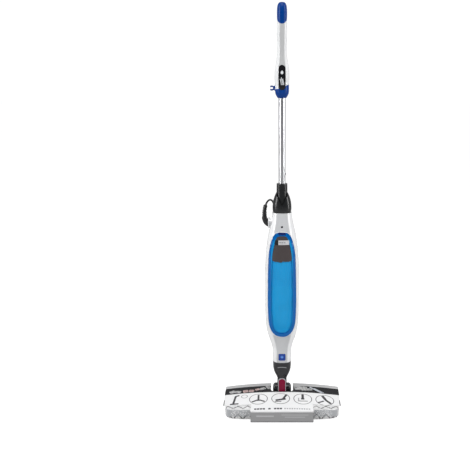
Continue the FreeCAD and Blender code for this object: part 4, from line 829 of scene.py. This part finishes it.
inner_x, inner_v = CARD_NOTCH_HALF - CARD_NOTCH_R, NOTCH_START + CARD_NOTCH_R
outline = [(-CARD_FLAP_HALF, CARD_LOW), (CARD_FLAP_HALF, CARD_LOW), (CARD_FLAP_HALF, CARD_CUT_BACK),
           (CARD_HALF, CARD_CUT_BACK), (CARD_HALF, CARD_REAR), (CARD_NOTCH_HALF, CARD_REAR)]
outline += card_corner(inner_x, inner_v, 0) + card_corner(-inner_x, inner_v, 270)
outline += [(-CARD_NOTCH_HALF, CARD_REAR), (-CARD_HALF, CARD_REAR), (-CARD_HALF, CARD_CUT_BACK),
            (-CARD_FLAP_HALF, CARD_CUT_BACK)]
flat = bmesh.new()
flat.faces.new([flat.verts.new((x, v, 0)) for x, v in outline])
cuts = [((i * 7.0, 0, 0), (1, 0, 0)) for i in range(-25, 26)]
cuts += [((0, v, 0), (0, 1, 0)) for v in [CARD_LOW + 6.0 * i for i in range(1, 36)]]
cuts += [((0, v * FOLD_HALF, 0), (0, 1, 0)) for v in (-1.0, -0.33, 0.33, 1.0)]
for centre, normal in cuts:
    bmesh.ops.bisect_plane(flat, geom=flat.verts[:] + flat.edges[:] + flat.faces[:], plane_co=centre,
                           plane_no=normal)
sheet_uv = flat.loops.layers.uv.new("flat")
for face in flat.faces:
    for corner in face.loops:
        corner[sheet_uv].uv = (corner.vert.co.x * MM, corner.vert.co.y * MM)
for vertex in flat.verts:
    vertex.co = card_point(vertex.co.x, vertex.co.y)
card_mesh = bpy.data.meshes.new("printed_card")
flat.to_mesh(card_mesh)
flat.free()
card_mesh.shade_smooth()
card = add_object("printed_card", card_mesh)
thick = card.modifiers.new("thickness", "SOLIDIFY")
thick.thickness, thick.offset = CARD_THICK, 1.0
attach(card, "sleeve")
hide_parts("card_sleeve")
print("card", len(card_mesh.polygons), "faces")

# %% The card's print
printed = bpy.data.materials.new("printed_card")
printed.use_nodes = True
tree = printed.node_tree
shader = tree.nodes["Principled BSDF"]
flat_uv = node(tree, "ShaderNodeSeparateXYZ", {0: node(tree, "ShaderNodeUVMap", uv_map="flat").outputs[0]})
u, v = (in_mm(tree, flat_uv.outputs[i]) for i in (0, 1))


def band(low, high):
    return calc(tree, "SUBTRACT", step(tree, v, low - 0.3, low + 0.3), step(tree, v, high - 0.3, high + 0.3))


def print_on(tone, mask, colour, strength=1.0):
    return mix(tree, calc(tree, "MULTIPLY", mask, strength), tone, colour)


fibres = node(tree, "ShaderNodeTexNoise", {"Vector": object_vector(tree), "Scale": 700.0, "Detail": 3.0})
fibres = fibres.outputs[0]
tone = mix(tree, fibres, (0.78, 0.78, 0.785), (0.84, 0.84, 0.845))
DARK, MID = (0.022, 0.022, 0.025), (0.16, 0.16, 0.165)
tone = print_on(tone, band(-60, -4.5), (0.34, 0.34, 0.345))
light_bars = [(-50, -21, 26, 2.8, 1.2, 0), (38, -16, 40, 1.4, 0.7, 0), (38, -25, 30, 1.4, 0.7, 0)]
tone = print_on(tone, shapes(tree, u, v, light_bars), (0.55, 0.55, 0.56), 0.8)
letters = [(-79 + 8.4 * i, 10, 3.5, 3.4, 1.0, 0) for i in range(10) if i not in (4, 6)]
tone = print_on(tone, shapes(tree, u, v, letters), (0.05, 0.05, 0.055), 0.95)
thin = [(9 + 7.2 * i, 10, 2.4, 2.8, 0.9, 0) for i in range(11)]
tone = print_on(tone, shapes(tree, u, v, thin), (0.30, 0.30, 0.31), 0.8)
sides = calc(tree, "MULTIPLY", step(tree, calc(tree, "ABSOLUTE", u), 172.6, 173.2), band(34, 66))
tone = print_on(tone, sides, DARK)
# Four ringed pictograms, and a small pole with a round badge beside it.
RING_V = 60.0
for cu in (-71.0, -4.0, 62.5, 129.0):
    tone = print_on(tone, ring_shape(tree, u, v, cu, RING_V, 27.0, 2.0), (0.06, 0.06, 0.065), 0.95)
pictograms = [(-71, 53, 7, 3.2, 2.0, 0), (-71, 68, 2.8, 15, 2.0, 0),
              (-82, 50, 10, 2.8, 1.8, 30), (-60, 50, 10, 2.8, 1.8, -30),
              (-4, 54, 16, 4.2, 2.6, 14), (9, 70, 3.4, 13, 2.4, -24), (-12, 44, 10, 1.6, 1.2, 0),
              (62.5, 74, 3.6, 11, 2.2, 0), (62.5, 60, 5, 4.0, 2.0, 0),
              (127, 72, 4.4, 12, 2.6, 22), (139, 52, 12, 3.8, 2.4, -48), (117, 49, 11, 2.6, 1.6, 32),
              (-143, 64, 3.2, 21, 2.2, -8), (-143, 41, 13, 3.2, 2.4, 0), (-136, 84, 7, 3.4, 2.0, 20)]
tone = print_on(tone, shapes(tree, u, v, pictograms), DARK, 0.95)
outlines = shapes(tree, u, v, [(62.5, 48, 15, 2.4, 1.4, 0), (50, 55, 1.6, 9, 1.2, 0)])
tone = print_on(tone, outlines, MID, 0.7)
tone = print_on(tone, ring_shape(tree, u, v, -114.0, 78.0, 9.0, 2.0), MID, 0.8)
# Dark band with soft pale pictures of dusters and a mop head.
tone = print_on(tone, band(98, 143), (0.010, 0.010, 0.012))
soft = node(tree, "ShaderNodeTexNoise", {"Vector": object_vector(tree), "Scale": 160.0, "Detail": 3.0})
patchy = step(tree, soft.outputs[0], 0.34, 0.62)
greys = [(-152, 114, 9, 10, 4, 30), (-138, 112, 12, 8, 4, -20), (-60, 124, 10, 7, 4, 30),
         (-42, 132, 6, 12, 4, 24), (58, 128, 19, 14, 7, -8), (76, 120, 18, 7, 5, 10), (44, 138, 8, 9, 4, 0)]
pinks = [(-112, 112, 8, 9, 4, 8), (-94, 112, 8, 8, 4, -10), (-76, 120, 7, 6, 3, 20)]
for items, share, colour in ((greys, 0.55, (0.52, 0.52, 0.52)), (pinks, 0.5, (0.60, 0.44, 0.42))):
    strength = calc(tree, "MULTIPLY_ADD", patchy, share, 0.4)
    tone = print_on(tone, calc(tree, "MULTIPLY", shapes(tree, u, v, items), strength), colour)
streaks = shapes(tree, u, v, [(104, 120, 26, 2.6, 2.2, -46), (114, 117, 20, 1.6, 1.4, -44)])
tone = print_on(tone, streaks, (0.62, 0.66, 0.72), 0.85)
tone = print_on(tone, band(143, 200), (0.50, 0.50, 0.505))
feed(tree, shader.inputs["Base Color"], tone)
shader.inputs["Roughness"].default_value = 0.5
shader.inputs["Specular IOR Level"].default_value = 0.12
bump_up(tree, shader, calc(tree, "MULTIPLY", fibres, 0.00002))
card_mesh.materials.append(printed)
